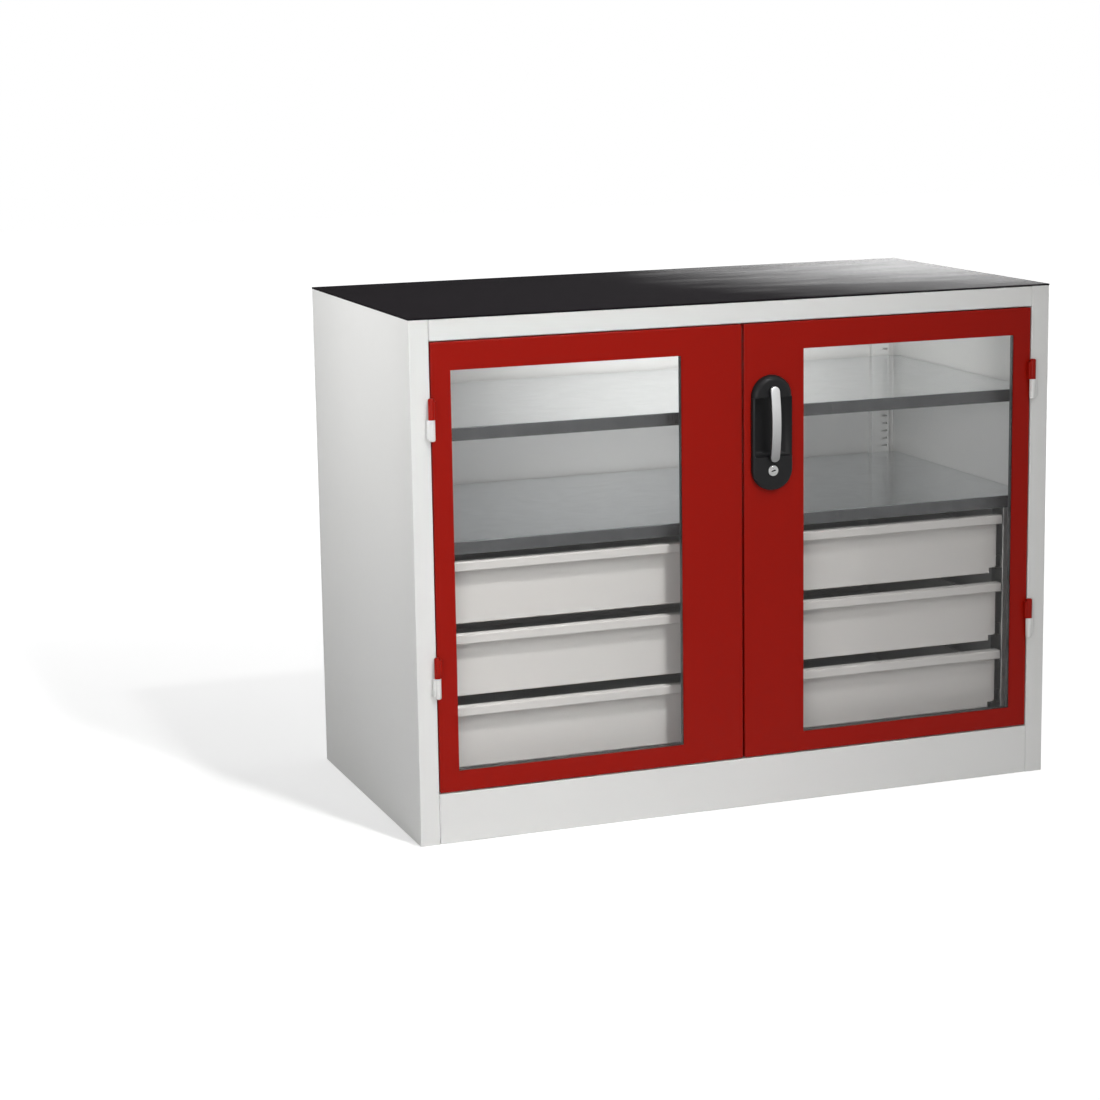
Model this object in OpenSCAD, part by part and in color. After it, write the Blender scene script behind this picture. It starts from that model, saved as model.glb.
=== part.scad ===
// Steel tool cabinet with two glazed doors, two shelves and three full-width drawers.
// X runs along the width, the front faces -Y, Z is up from the floor. Sizes are in millimetres.

/* [Carcass] */
// Overall width
width = 1200; // [1000:10:1400]
// Overall height, with the mat
height = 900; // [880:10:1100]
// Depth of the carcass, from the front of the posts to the rear
depth = 600; // [560:10:700]
// Thickness of the painted sheet
sheet = 1; // [0.8:0.1:1.4]
// Outside radius of every bend in the sheet
bend_r = 2; // [1.8:0.1:2.6]
// Width of the front posts
post_w = 35; // [32:1:42]
// Depth of the front posts
post_d = 30; // [27:1:34]
// Width of the inner face that closes the rear of a post
post_back_w = 28; // [24:1:30]
// Height of the front rail under the top
top_rail_h = 36; // [30:1:50]
// Height of the plinth
plinth_h = 88; // [60:1:100]
// Height of the cabinet floor above the plinth
floor_rise = 8; // [7:1:14]
// Width of the flanges that stand on the ground
foot_w = 20; // [15:1:30]
// Depth of the plinth's flanges
plinth_flange = 32; // [26:1:45]
// Width of the flanges that hold the top, floor and back
flange_w = 18; // [14:1:24]
// Gap in the seams between posts, front rail and plinth
seam = 0.6; // [0.4:0.1:1.2]
// Depth of the lip behind the top edge of the doors
stop_h = 10; // [8:1:14]
// Gap between the closed doors and that lip
stop_gap = 2.5; // [2:0.1:4]
// Thickness of the rubber mat
mat_t = 3; // [2:0.5:6]

/* [Shelves] */
// Thickness of the galvanised sheet
gal_t = 1.2; // [1:0.1:1.5]
// Height of a shelf's folded edges
shelf_h = 22.5; // [18:0.5:30]
// Width of the returns under a shelf
shelf_lip = 12; // [8:1:20]
// Gap between a shelf and the walls beside it
shelf_gap = 1; // [0.6:0.1:2]
// Gap between a shelf and the front strips
shelf_setback = 3; // [2:1:10]
// Slot that carries the upper shelf, counted from the lowest
upper_slot = 37; // [34:1:40]
// Slot that carries the lower shelf
lower_slot = 24; // [24:1:27]
// Width of the slotted strips at the rear
strip_w = 39; // [34:1:46]
// Depth of the slotted strips
strip_d = 12; // [10:1:16]
// Distance of the rear strips from the side walls
strip_off = 15; // [8:1:20]
// Height of the lowest slot
slot_first = 120; // [110:1:125]
// Distance between slots
slot_pitch = 15; // [14:0.5:16]
// Width of a slot
slot_w = 10; // [8:0.5:12]
// Height of a slot
slot_h = 3.5; // [3:0.1:5]
// Width of a shelf clip
clip_w = 18; // [14:1:22]
// Thickness of a shelf clip
clip_t = 2; // [1.5:0.1:2.5]
// Length of the tongue under the shelf
clip_len = 20; // [14:1:30]
// Height of the tongue above its slot
clip_rise = 10; // [8:1:14]

/* [Doors] */
// Thickness of a door
door_t = 16; // [15.5:0.1:17]
// Gap between the two doors
door_gap = 3.5; // [2.5:0.1:5]
// Gap between a door and its post
hinge_gap = 1.75; // [1.5:0.05:2.5]
// Gap above and below a door
door_gap_z = 2; // [1.5:0.1:3]
// Corner radius of a door's face
door_corner = 3; // [2.6:0.1:6]
// Width of the returns round the back of a door
door_lip = 11; // [8:1:12]
// Width of the hinge-side stile
hinge_stile = 34.5; // [30:0.5:45]
// Width of the stile at the middle of the cabinet
lock_stile = 113.5; // [105:0.5:130]
// Height of a door's top rail
door_rail_top = 48; // [40:1:60]
// Height of a door's bottom rail
door_rail_bottom = 36; // [30:1:50]
// Thickness of the clear panes
pane_t = 3; // [2:0.5:4]
// How far a pane reaches behind the door's face
pane_lap = 12; // [8:1:16]
// Depth of the retaining frame behind a pane
retainer_d = 9; // [6:0.5:10]

/* [Hinges] */
// Radius of the knuckles
knuckle_r = 5.6; // [5.2:0.1:5.8]
// Length of each knuckle
knuckle_len = 36; // [28:1:45]
// Distance of the hinge axis in front of the doors
hinge_out = 6; // [6:0.1:6.6]
// Radius of the hinge pins
hinge_pin_r = 3; // [2.5:0.1:3.4]
// Radial clearance of a door knuckle on its pin
run_gap = 0.05; // [0.03:0.01:0.09]
// Radial clearance of a seated pin
seat_gap = 0.02; // [0.01:0.01:0.03]
// Distance of the upper hinge below the door's top
upper_hinge_drop = 128; // [90:1:180]
// Distance of the lower hinge above the door's bottom
lower_hinge_rise = 202; // [120:1:260]

/* [Handle] */
// Width of the handle shell
shell_w = 76; // [72:1:84]
// Length of the handle shell
shell_l = 202; // [196:1:220]
// How far the shell stands out from the door
shell_out = 12; // [10:0.5:14]
// Edge radius of the shell
shell_edge = 5; // [3:0.5:7]
// Distance from the door's free edge to the handle's middle
handle_in = 50.75; // [47:0.25:54]
// Distance of the handle's middle below the door's top
handle_drop = 191; // [170:1:220]
// Wall beside the finger recess
recess_wall = 7; // [5:0.5:9]
// Top of the recess above the handle's middle
recess_top = 59; // [50:1:60]
// Bottom of the recess below the handle's middle
recess_bottom = 40; // [30:1:44]
// Depth of the recess behind the door's face
recess_in = 6.5; // [4:0.5:7]
// Wall of the recess
recess_t = 1.5; // [1:0.1:1.8]
// Width of the lever bar
bar_w = 16.5; // [14:0.5:20]
// Length of the lever bar
bar_l = 132; // [124:1:138]
// Thickness of the lever bar
bar_t = 5; // [4:0.5:6]
// How far the bar bows forward
bar_rise = 8; // [5:0.5:12]
// Middle of the bar above the handle's middle
bar_lift = 16; // [14:1:18]
// Gap between the bar's ends and the shell
lever_gap = 0.6; // [0.4:0.1:1]
// Radius of the lever's spindle
spindle_r = 6; // [5:0.5:7]

/* [Lock] */
// Radius of the lock barrel
barrel_r = 9.25; // [8:0.25:11]
// Radius of the turning plug
plug_r = 6.2; // [5:0.1:7]
// Distance of the lock below the handle's middle
lock_drop = 66; // [62:1:70]
// How far the barrel stands out from the shell
barrel_out = 2.5; // [1:0.5:4]
// Radius of the drive cam
cam_r = 17; // [14.5:0.5:18]
// Distance of the cam's pins from its axis
cam_pin_at = 10.6; // [10:0.1:11]
// Radius of the cam's pins
cam_pin_r = 2.5; // [2:0.1:2.8]
// Width of the locking rods
rod_w = 10; // [8:0.5:12]
// Thickness of the locking rods
rod_t = 2.5; // [2:0.1:2.8]
// Gap round the locking rods
rod_gap = 0.5; // [0.4:0.05:0.8]
// Distance of the upper rod guide below the door's top
upper_guide_drop = 50; // [35:1:60]
// Distance of the lowest rod guide above the door's bottom
lower_guide_rise = 40; // [20:1:80]
// Height of a rod guide
guide_h = 14; // [10:1:20]
// Width of a rod guide's feet
guide_foot = 8; // [6:1:10]
// Wall of the lock case and the rod guides
case_t = 1.2; // [1:0.1:1.5]
// Room above the drive cam in the lock case
case_room = 14; // [10:1:18]
// Radius of the handle's screws
screw_r = 2; // [1.5:0.1:2.4]
// Height of a screw's head
screw_head = 2.2; // [1.6:0.1:3]
// Distance of the upper screws from the handle's middle line
upper_screw_x = 24; // [22:1:26]
// Height of the upper screws above the spindle
upper_screw_z = 6; // [0:1:8]
// Distance of the lower screws from the handle's middle line
lower_screw_x = 20; // [17:1:22]
// Distance of the lower screws below the lock
lower_screw_z = 8; // [4:1:10]
// Depth of the screws in the shell
screw_in = 6.5; // [5:0.5:8]

/* [Drawers] */
// Height of the lowest drawer's underside
drawer_z = 114.5; // [110:0.5:118]
// Distance from one drawer to the next
drawer_pitch = 126.5; // [122:0.5:128]
// Height of a drawer's front below its lip
face_h = 93; // [85:1:96]
// Height of the grip lip
lip_h = 16; // [12:1:18]
// Distance of the lip behind the front of the cabinet
lip_d = 44; // [42:1:46]
// How far the lip reaches out over the drawer's front
lip_out = 12; // [8:1:16]
// Distance of the lip's ends from the outside of the cabinet
lip_inset = 65; // [65:1:80]
// How far the lip reaches past each end of the front
lip_past = 5; // [3:1:8]
// How far the front reaches past each side wall
face_past = 14; // [13:0.5:16]
// Height of the notch under the front's ends
notch_h = 10.5; // [8:0.5:12]
// Height of the side and rear walls
tray_h = 84; // [60:1:88]
// Width of the hems on the walls
hem_w = 7; // [5:1:10]

/* [Runners] */
// Radius of the rollers
roller_r = 10; // [8:0.5:11]
// Width of the rollers
roller_w = 8; // [6:0.5:9]
// Radius of the roller axles
axle_r = 3; // [2.5:0.1:3.5]
// Thickness of the runner rails
rail_t = 1.5; // [1.2:0.1:1.8]
// Height of the rollers' axes above a drawer's underside
runner_rise = 18; // [16:0.5:24]
// Width of the cabinet rail's flanges
rail_flange = 13.5; // [12:0.5:14]
// Running gap of rollers and rails
roll_gap = 0.3; // [0.2:0.05:0.5]
// Distance of the runner posts behind the front of the cabinet
runner_d = 60; // [58:1:64]
// Distance between the lip's end and the runner posts
runner_gap = 11; // [10.5:0.5:14]
// Depth of the runner posts
runner_post_d = 40; // [30:1:50]
// Distance of the cabinet rails behind the front of their posts
rail_inset = 4; // [2:1:8]
// Length of the cabinet rails
rail_l = 476; // [440:1:490]
// How far a drawer reaches behind its rails
tray_past = 6; // [0:1:10]
// Distance of the front axles from the front of the cabinet rails
front_axle_in = 20; // [14:1:30]
// Distance of the rear axles from the rear of a drawer
rear_axle_in = 24; // [18:1:30]
// Play between rails, rollers and axle ends
runner_play = 1; // [0.8:0.1:1.5]

/* [Hidden] */
$fn = 64;
cut = 1;
carcass_h = height - mat_t;
handle_out = shell_out + lever_gap + bar_rise + bar_t;
front_y = (handle_out - depth) / 2;
inner_x = width / 2 - sheet;
opening_x = width / 2 - post_w;
between_posts = 2 * (opening_x - seam);
rear_d = depth - 2 * sheet;
rail_z = carcass_h - top_rail_h;
floor_z = plinth_h + floor_rise;
stop_d = door_t + stop_gap;

door_top = rail_z - door_gap_z;
door_bottom = plinth_h + door_gap_z;
door_h = door_top - door_bottom;
door_edge = door_gap / 2;
door_w = opening_x - hinge_gap - door_edge;
door_x = door_edge + door_w / 2;
window_x0 = door_edge + lock_stile;
window_x1 = door_edge + door_w - hinge_stile;
window_z0 = door_bottom + door_rail_bottom;
window_z1 = door_top - door_rail_top;
window_w = window_x1 - window_x0;
window_h = window_z1 - window_z0;
pane_d = sheet + pane_t;

strip_top = carcass_h - flange_w - 2;
strip_x = inner_x - strip_off - strip_w;
front_strip_w = post_back_w - 1;
slot_from_edge = 10.5;
slot_count = floor((strip_top - slot_first) / slot_pitch);
upper_shelf_z = slot_first + upper_slot * slot_pitch + clip_rise + shelf_h;
lower_shelf_z = slot_first + lower_slot * slot_pitch + clip_rise + shelf_h;
shelf_d0 = post_d + strip_d + shelf_setback;
shelf_d1 = rear_d - strip_d - shelf_gap;

handle_x = door_edge + handle_in;
handle_z = door_top - handle_drop;
bar_z = handle_z + bar_lift;
spindle_z = bar_z + (bar_l - bar_w) / 2;
lock_z = handle_z - lock_drop;
recess_half = shell_w / 2 - recess_wall;
recess_back = recess_in + recess_t;
cam_d = recess_back + 0.7;
cam_t = 2.3;
rod_d = cam_d + cam_t + rod_gap;
rod_back = rod_d + rod_t;
case_back = rod_back + rod_gap;
pin_level = cam_pin_at * sin(45);
rod_x = cam_pin_at * (1 + cos(45)) / 2;
slot_half = cam_pin_at * (1 - cos(45)) / 2 + cam_pin_r + rod_gap;
eye_half = rod_x - 0.5;
upper_rod_x = handle_x - rod_x;
lower_rod_x = handle_x + rod_x;
rod_slot = rod_w + 2 * rod_gap;

lip_x = width / 2 - lip_inset;
face_x = lip_x - lip_past;
tray_x = face_x - face_past;
face_d = lip_d + lip_out;
post_x = lip_x + runner_gap;
rail_d0 = runner_d + rail_inset;
tray_end = rail_d0 + rail_l + tray_past;
front_axle_d = rail_d0 + front_axle_in;
rear_axle_d = tray_end - rear_axle_in;
runner_posts_top = lower_shelf_z - shelf_h - 2;
rail_inner = roller_r + roll_gap;
front_roller_x0 = tray_x + 2 * rail_t + runner_play;
rear_roller_x0 = post_x - rail_t - 2 * runner_play - roller_w;
drawer_levels = [drawer_z + 2 * drawer_pitch, drawer_z + drawer_pitch, drawer_z];

carcass_grey = [0.85, 0.85, 0.84];
door_red = [0.55, 0.09, 0.06];
galvanised = [0.45, 0.49, 0.52];
drawer_grey = [0.78, 0.78, 0.77];
steel = [0.7, 0.7, 0.7];
black_plastic = [0.12, 0.12, 0.12];
black_rubber = [0.1, 0.09, 0.1];
nylon = [0.9, 0.9, 0.86];
clear = [0.85, 0.92, 0.95, 0.3];

// Y of a plane that lies d behind the front of the doors and posts
function at(d) = front_y + d;

function unit(v) = v / norm(v);

// Section of a sheet with right-angled bends, along points on its middle line
module bent_sheet(path, t = sheet) {
  r = bend_r - t / 2;
  last = len(path) - 1;
  for (i = [0 : last - 1]) {
    along = unit(path[i + 1] - path[i]);
    from = path[i] + (i > 0 ? r : 0) * along;
    to = path[i + 1] - (i < last - 1 ? r : 0) * along;
    translate(from) rotate(atan2(along.y, along.x)) translate([0, -t / 2]) square([norm(to - from), t]);
  }
  for (i = [1 : last - 1]) {
    back = unit(path[i - 1] - path[i]);
    ahead = unit(path[i + 1] - path[i]);
    middle = path[i] + r * (back + ahead);
    reach = r + t;
    intersection() {
      translate(middle) difference() {
        circle(r + t / 2);
        circle(r - t / 2);
      }
      polygon([middle, middle - reach * back, middle - reach * (back + ahead), middle - reach * ahead]);
    }
  }
}

// A section drawn in XY, standing from z0 to z1
module upright(z0, z1) translate([0, 0, z0]) linear_extrude(z1 - z0) children();

// A section drawn in YZ, centred along X
module along_x(length) rotate([90, 0, 90]) linear_extrude(length, center = true) children();

// A section drawn in XZ, from y0 to y1
module along_y(y0, y1) translate([0, y1, 0]) rotate([90, 0, 0]) linear_extrude(y1 - y0) children();

module rod_along_x(x0, x1, r) translate([x0, 0, 0]) rotate([0, 90, 0]) cylinder(h = x1 - x0, r = r);

module rod_along_y(y0, y1, r) translate([0, y1, 0]) rotate([90, 0, 0]) cylinder(h = y1 - y0, r = r);

module block(low, high) translate(low) cube(high - low);

module both_sides() {
  children();
  mirror([1, 0, 0]) children();
}

module left() mirror([1, 0, 0]) children();

// Rectangle with rounded corners, centred
module round_rect(w, h, r) {
  square([w - 2 * r, h], center = true);
  square([w, h - 2 * r], center = true);
  for (x = [-1, 1], y = [-1, 1]) translate([x * (w / 2 - r), y * (h / 2 - r)]) circle(r);
}

// Section of a folded pan: a rectangle on the X axis with its two lower corners rounded
module pan_section(w, d, r) {
  translate([-w / 2, r]) square([w, d - r]);
  translate([r - w / 2, 0]) square([w - 2 * r, d]);
  for (x = [-1, 1]) translate([x * (w / 2 - r), r]) circle(r);
}

// Solid of a pan's outline: face on z = 0, edges rounded, walls rising to d
module pan_solid(w, h, d, edge, corner) {
  intersection() {
    along_x(w) pan_section(h, d, edge);
    translate([0, -h / 2, 0]) along_y(0, h) pan_section(w, d, edge);
    linear_extrude(d) round_rect(w, h, corner);
  }
}

// Sheet folded on all four sides, with returns round the open side
module pan(w, h, d, lip, t, corner) {
  difference() {
    pan_solid(w, h, d, bend_r, corner);
    translate([0, 0, t]) pan_solid(w - 2 * t, h - 2 * t, d + cut, bend_r - t, corner - t);
  }
  translate([0, 0, d - t]) linear_extrude(t) difference() {
    round_rect(w, h, corner);
    square([w - 2 * lip, h - 2 * lip], center = true);
  }
}

// Carcass

module side_panel() {
  wall_x = width / 2 - sheet / 2;
  cheek_x = opening_x + sheet / 2;
  post_rear = at(post_d - sheet / 2);
  wall_rear = at(depth - sheet / 2);
  color(carcass_grey) {
    upright(0, carcass_h) bent_sheet([
      [cheek_x + post_back_w, post_rear], [cheek_x, post_rear], [cheek_x, at(sheet / 2)],
      [wall_x, at(sheet / 2)], [wall_x, wall_rear], [wall_x - flange_w, wall_rear]
    ]);
    block([width / 2 - foot_w, at(post_d + bend_r), 0], [wall_x, at(rear_d - bend_r), sheet]);
  }
}

// Panel between the posts, widened behind them to the side walls and welded there by flanges
module inset_panel(top_z) {
  along_x(between_posts) children();
  both_sides() {
    block([between_posts / 2 - cut, at(post_d + seam), top_z - sheet], [inner_x, at(rear_d), top_z]);
    block([inner_x - sheet, at(post_d + seam), top_z - flange_w], [inner_x, at(rear_d), top_z]);
  }
}

module left_side_panel() left() side_panel();
module right_side_panel() side_panel();

module back_panel() {
  half = inner_x - (bend_r - sheet);
  color(carcass_grey) block([-half, at(rear_d), 0], [half, at(depth - sheet), carcass_h]);
}

module floor_panel() color(carcass_grey) inset_panel(floor_z) bent_sheet([
  [at(stop_d + sheet / 2), plinth_h], [at(stop_d + sheet / 2), floor_z - sheet / 2],
  [at(rear_d - sheet / 2), floor_z - sheet / 2], [at(rear_d - sheet / 2), floor_z - flange_w]
]);

module top_panel() {
  stop_y = at(stop_d + sheet / 2);
  color(carcass_grey) difference() {
    inset_panel(carcass_h) bent_sheet([
      [stop_y, rail_z - stop_h], [stop_y, rail_z + sheet / 2],
      [at(sheet / 2), rail_z + sheet / 2], [at(sheet / 2), carcass_h - sheet / 2],
      [at(rear_d - sheet / 2), carcass_h - sheet / 2], [at(rear_d - sheet / 2), carcass_h - flange_w]
    ]);
    rod_passage(upper_rod_x, rail_z);
  }
}

module plinth_panel() color(carcass_grey) difference() {
  along_x(between_posts) bent_sheet([
    [at(plinth_flange), sheet / 2], [at(sheet / 2), sheet / 2],
    [at(sheet / 2), plinth_h - sheet / 2], [at(plinth_flange), plinth_h - sheet / 2]
  ]);
  rod_passage(lower_rod_x, plinth_h);
}

// Slot that a locking rod goes through, cut in whatever lies near height z
module rod_passage(x, z) {
  half = rod_slot / 2 + rod_gap;
  reach = 3 * bend_r;
  block([x - half, at(rod_d - 2 * rod_gap), z - reach], [x + half, at(rod_back + 2 * rod_gap), z + reach]);
}

module rubber_mat() color(black_rubber) block([-width / 2, at(0), carcass_h], [width / 2, at(depth), height]);

// Hat-shaped strip with its slotted face on y = 0 and its legs towards +Y
module slot_strip(w) {
  m = gal_t / 2;
  difference() {
    upright(floor_z, strip_top) bent_sheet([[m, strip_d], [m, m], [w - m, m], [w - m, strip_d]], gal_t);
    for (i = [0 : slot_count - 1])
      translate([w - slot_from_edge - slot_w / 2, -cut, slot_first + i * slot_pitch - slot_h / 2])
        cube([slot_w, gal_t + 2 * cut, slot_h]);
  }
}

module at_rear_strip() translate([strip_x, at(rear_d - strip_d), 0]) children();
module at_front_strip() translate([opening_x + 1, at(post_d + strip_d), 0]) mirror([0, 1, 0]) children();

module slot_strips() color(carcass_grey) {
  at_rear_strip() slot_strip(strip_w);
  at_front_strip() slot_strip(front_strip_w);
}

module left_slot_strips() left() slot_strips();
module right_slot_strips() slot_strips();

module shelf(z) {
  w = 2 * (inner_x - shelf_gap);
  color(galvanised) translate([0, at((shelf_d0 + shelf_d1) / 2), z]) rotate([180, 0, 0])
    pan(w, shelf_d1 - shelf_d0, shelf_h, shelf_lip, gal_t, bend_r);
}

module upper_shelf() shelf(upper_shelf_z);
module lower_shelf() shelf(lower_shelf_z);

// Bracket hooked through a slot, with a tongue that carries the shelf
module shelf_clip() {
  hook_x = slot_w / 2 - 0.8;
  hook_z = slot_h / 2 - 0.35;
  block([-clip_w / 2, -clip_t, -6], [clip_w / 2, 0, clip_rise]);
  block([-clip_w / 2, -clip_len, clip_rise - clip_t], [clip_w / 2, 0, clip_rise]);
  block([-hook_x, -clip_t, -hook_z], [hook_x, gal_t + clip_t + 0.4, hook_z]);
  block([-hook_x, gal_t + 0.4, -6], [hook_x, gal_t + clip_t + 0.4, hook_z]);
}

module shelf_clips(slot) color(galvanised) both_sides() {
  z = slot_first + slot * slot_pitch;
  at_rear_strip() translate([strip_w - slot_from_edge, 0, z]) shelf_clip();
  at_front_strip() translate([front_strip_w - slot_from_edge, 0, z]) shelf_clip();
}

module upper_shelf_clips() shelf_clips(upper_slot);
module lower_shelf_clips() shelf_clips(lower_slot);

// Runners

module runner_posts() {
  m = gal_t / 2;
  rail_end = rail_d0 + rail_l;
  color(galvanised) upright(floor_z, runner_posts_top) {
    bent_sheet([
      [inner_x, at(runner_d + m)], [post_x + m, at(runner_d + m)],
      [post_x + m, at(runner_d + runner_post_d)], [post_x + flange_w, at(runner_d + runner_post_d)]
    ], gal_t);
    bent_sheet([
      [inner_x, at(rail_end - m)], [post_x + m, at(rail_end - m)],
      [post_x + m, at(rail_end - runner_post_d)], [post_x + flange_w, at(rail_end - runner_post_d)]
    ], gal_t);
  }
}

module left_runner_posts() left() runner_posts();
module right_runner_posts() runner_posts();

module cabinet_rails(level) {
  z = level + runner_rise;
  m = rail_t / 2;
  color(galvanised) both_sides() difference() {
    along_y(at(rail_d0), at(rail_d0 + rail_l)) bent_sheet([
      [post_x - rail_flange, z - rail_inner - m], [post_x - m, z - rail_inner - m],
      [post_x - m, z + rail_inner + m], [post_x - rail_flange, z + rail_inner + m]
    ], rail_t);
    translate([0, at(front_axle_d), z]) rod_along_x(post_x - rail_flange, post_x + cut, axle_r + seat_gap);
  }
}

module cabinet_rails_top() cabinet_rails(drawer_levels[0]);
module cabinet_rails_middle() cabinet_rails(drawer_levels[1]);
module cabinet_rails_bottom() cabinet_rails(drawer_levels[2]);

module front_axles() color(steel) both_sides() for (level = drawer_levels)
  translate([0, at(front_axle_d), level + runner_rise])
    rod_along_x(front_roller_x0 - runner_play, post_x, axle_r);

module rollers(x0, d, level) color(nylon) both_sides()
  translate([0, at(d), level + runner_rise]) difference() {
    rod_along_x(x0, x0 + roller_w, roller_r);
    rod_along_x(x0 - cut, x0 + roller_w + cut, axle_r + run_gap);
  }

module front_rollers_top() rollers(front_roller_x0, front_axle_d, drawer_levels[0]);
module front_rollers_middle() rollers(front_roller_x0, front_axle_d, drawer_levels[1]);
module front_rollers_bottom() rollers(front_roller_x0, front_axle_d, drawer_levels[2]);
module rear_rollers_top() rollers(rear_roller_x0, rear_axle_d, drawer_levels[0]);
module rear_rollers_middle() rollers(rear_roller_x0, rear_axle_d, drawer_levels[1]);
module rear_rollers_bottom() rollers(rear_roller_x0, rear_axle_d, drawer_levels[2]);

// Drawers

module drawer(level) {
  m = sheet / 2;
  lip_low = level + face_h;
  lip_top = lip_low + lip_h;
  lip_path = [
    [at(face_d + hem_w), lip_top - hem_w], [at(face_d + hem_w), lip_top - m], [at(lip_d + m), lip_top - m],
    [at(lip_d + m), lip_low + m], [at(face_d + m), lip_low + m]
  ];
  tray_path = [
    [at(face_d + m), lip_low + m], [at(face_d + m), level + m],
    [at(tray_end - m), level + m], [at(tray_end - m), level + tray_h]
  ];
  wing_r = 4;
  wing_z = level + notch_h;
  color(drawer_grey) {
    along_x(2 * tray_x) bent_sheet(tray_path);
    along_x(2 * lip_x) bent_sheet(concat(lip_path, [[at(face_d + m), lip_low - bend_r]]));
    both_sides() {
      block([tray_x - sheet, at(face_d), level], [tray_x, at(tray_end), level + tray_h]);
      block([tray_x - hem_w, at(face_d), level + tray_h - sheet], [tray_x, at(tray_end), level + tray_h]);
      along_y(at(face_d), at(face_d + sheet)) {
        translate([tray_x - cut, wing_z]) square([face_past + cut - wing_r, lip_low - wing_z]);
        translate([tray_x - cut, wing_z + wing_r]) square([face_past + cut, lip_low - wing_z - wing_r]);
        translate([face_x - wing_r, wing_z + wing_r]) circle(wing_r);
      }
      block([face_x - sheet, at(face_d), wing_z + wing_r], [face_x, at(face_d + hem_w), lip_low]);
    }
  }
}

module drawer_top() drawer(drawer_levels[0]);
module drawer_middle() drawer(drawer_levels[1]);
module drawer_bottom() drawer(drawer_levels[2]);

module drawer_rails(level) {
  z = level + runner_rise;
  m = rail_t / 2;
  reach = post_x - rail_flange - runner_play;
  color(galvanised) both_sides() difference() {
    along_y(at(face_d + hem_w + 2), at(tray_end)) bent_sheet([
      [tray_x + m, z - roller_r + 2], [tray_x + m, z + rail_inner + m], [reach, z + rail_inner + m]
    ], rail_t);
    translate([0, at(rear_axle_d), z]) rod_along_x(tray_x - cut, tray_x + rail_t + cut, axle_r + seat_gap);
  }
}

module drawer_rails_top() drawer_rails(drawer_levels[0]);
module drawer_rails_middle() drawer_rails(drawer_levels[1]);
module drawer_rails_bottom() drawer_rails(drawer_levels[2]);

module rear_axles(level) color(steel) both_sides()
  translate([0, at(rear_axle_d), level + runner_rise])
    rod_along_x(tray_x, post_x - rail_t - runner_play, axle_r);

module rear_axles_top() rear_axles(drawer_levels[0]);
module rear_axles_middle() rear_axles(drawer_levels[1]);
module rear_axles_bottom() rear_axles(drawer_levels[2]);

// Hinges

// Places a hinge with its axis upright on the origin and its split at z = 0
module at_hinges() for (z = [door_top - upper_hinge_drop, door_bottom + lower_hinge_rise])
  translate([opening_x, at(-hinge_out), z]) children();

// Knuckle above z = 0 with a round outer end, and a foot on the face behind it, towards +X
module knuckle(bore_r) {
  foot = hinge_out - sheet;
  foot_x = hinge_gap + bend_r;
  difference() {
    union() {
      cylinder(h = knuckle_len - 2, r = knuckle_r);
      translate([0, 0, knuckle_len - 2]) cylinder(h = 2, r1 = knuckle_r, r2 = knuckle_r - 2);
      block([foot_x, -knuckle_r / 2, 0], [foot_x + foot, hinge_out, knuckle_len - foot]);
      block([0, -knuckle_r / 2, 0], [foot_x + foot, 0, knuckle_len - foot]);
    }
    translate([0, 0, -cut]) cylinder(h = knuckle_len - 4 + cut, r = bore_r);
  }
}

module frame_knuckles() color(carcass_grey) both_sides() at_hinges()
  mirror([0, 0, 1]) knuckle(hinge_pin_r + seat_gap);

module door_knuckles() color(door_red) at_hinges() mirror([1, 0, 0]) translate([0, 0, seat_gap])
  knuckle(hinge_pin_r + run_gap);

module left_door_knuckles() left() door_knuckles();
module right_door_knuckles() door_knuckles();

module hinge_pins() color(steel) both_sides() at_hinges()
  translate([0, 0, 4 - knuckle_len]) cylinder(h = 2 * (knuckle_len - 4) - 1, r = hinge_pin_r);

// Doors

module door_shell() translate([door_x, at(0), (door_top + door_bottom) / 2]) rotate([-90, 0, 0])
  pan(door_w, door_h, door_t, door_lip, sheet, door_corner);

module window_hole(d0, d1) block([window_x0, at(d0), window_z0], [window_x1, at(d1), window_z1]);

module left_door_panel() color(door_red) left() difference() {
  door_shell();
  window_hole(-cut, sheet + cut);
}

module right_door_panel() color(door_red) difference() {
  door_shell();
  window_hole(-cut, sheet + cut);
  block([handle_x - recess_half - recess_t - 0.5, at(-cut), handle_z - recess_bottom - recess_t - 0.5],
        [handle_x + recess_half + recess_t + 0.5, at(sheet + cut), handle_z + recess_top + recess_t + 0.5]);
  translate([handle_x, 0, lock_z]) rod_along_y(at(-cut), at(sheet + cut), barrel_r + 1);
  translate([handle_x, 0, spindle_z]) rod_along_y(at(-cut), at(sheet + cut), spindle_r + 1);
  at_handle_screws() rod_along_y(at(-cut), at(sheet + cut), screw_r + 0.3);
  rod_passage(upper_rod_x, door_top);
  rod_passage(lower_rod_x, door_bottom);
}

module pane() color(clear) block([window_x0 - pane_lap, at(sheet), window_z0 - pane_lap],
  [window_x1 + pane_lap, at(pane_d), window_z1 + pane_lap]);

module left_pane() left() pane();
module right_pane() pane();

// Angle frame behind a pane: a flange on the pane and a wall round the window
module pane_retainer() {
  w = window_w + 2 * pane_lap;
  h = window_h + 2 * pane_lap;
  color(galvanised) translate([(window_x0 + window_x1) / 2, 0, (window_z0 + window_z1) / 2]) {
    along_y(at(pane_d), at(pane_d + gal_t)) difference() {
      square([w, h], center = true);
      square([window_w, window_h], center = true);
    }
    along_y(at(pane_d), at(pane_d + retainer_d)) difference() {
      square([window_w + 2 * gal_t, window_h + 2 * gal_t], center = true);
      square([window_w, window_h], center = true);
    }
  }
}

module left_pane_retainer() left() pane_retainer();
module right_pane_retainer() pane_retainer();

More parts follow.
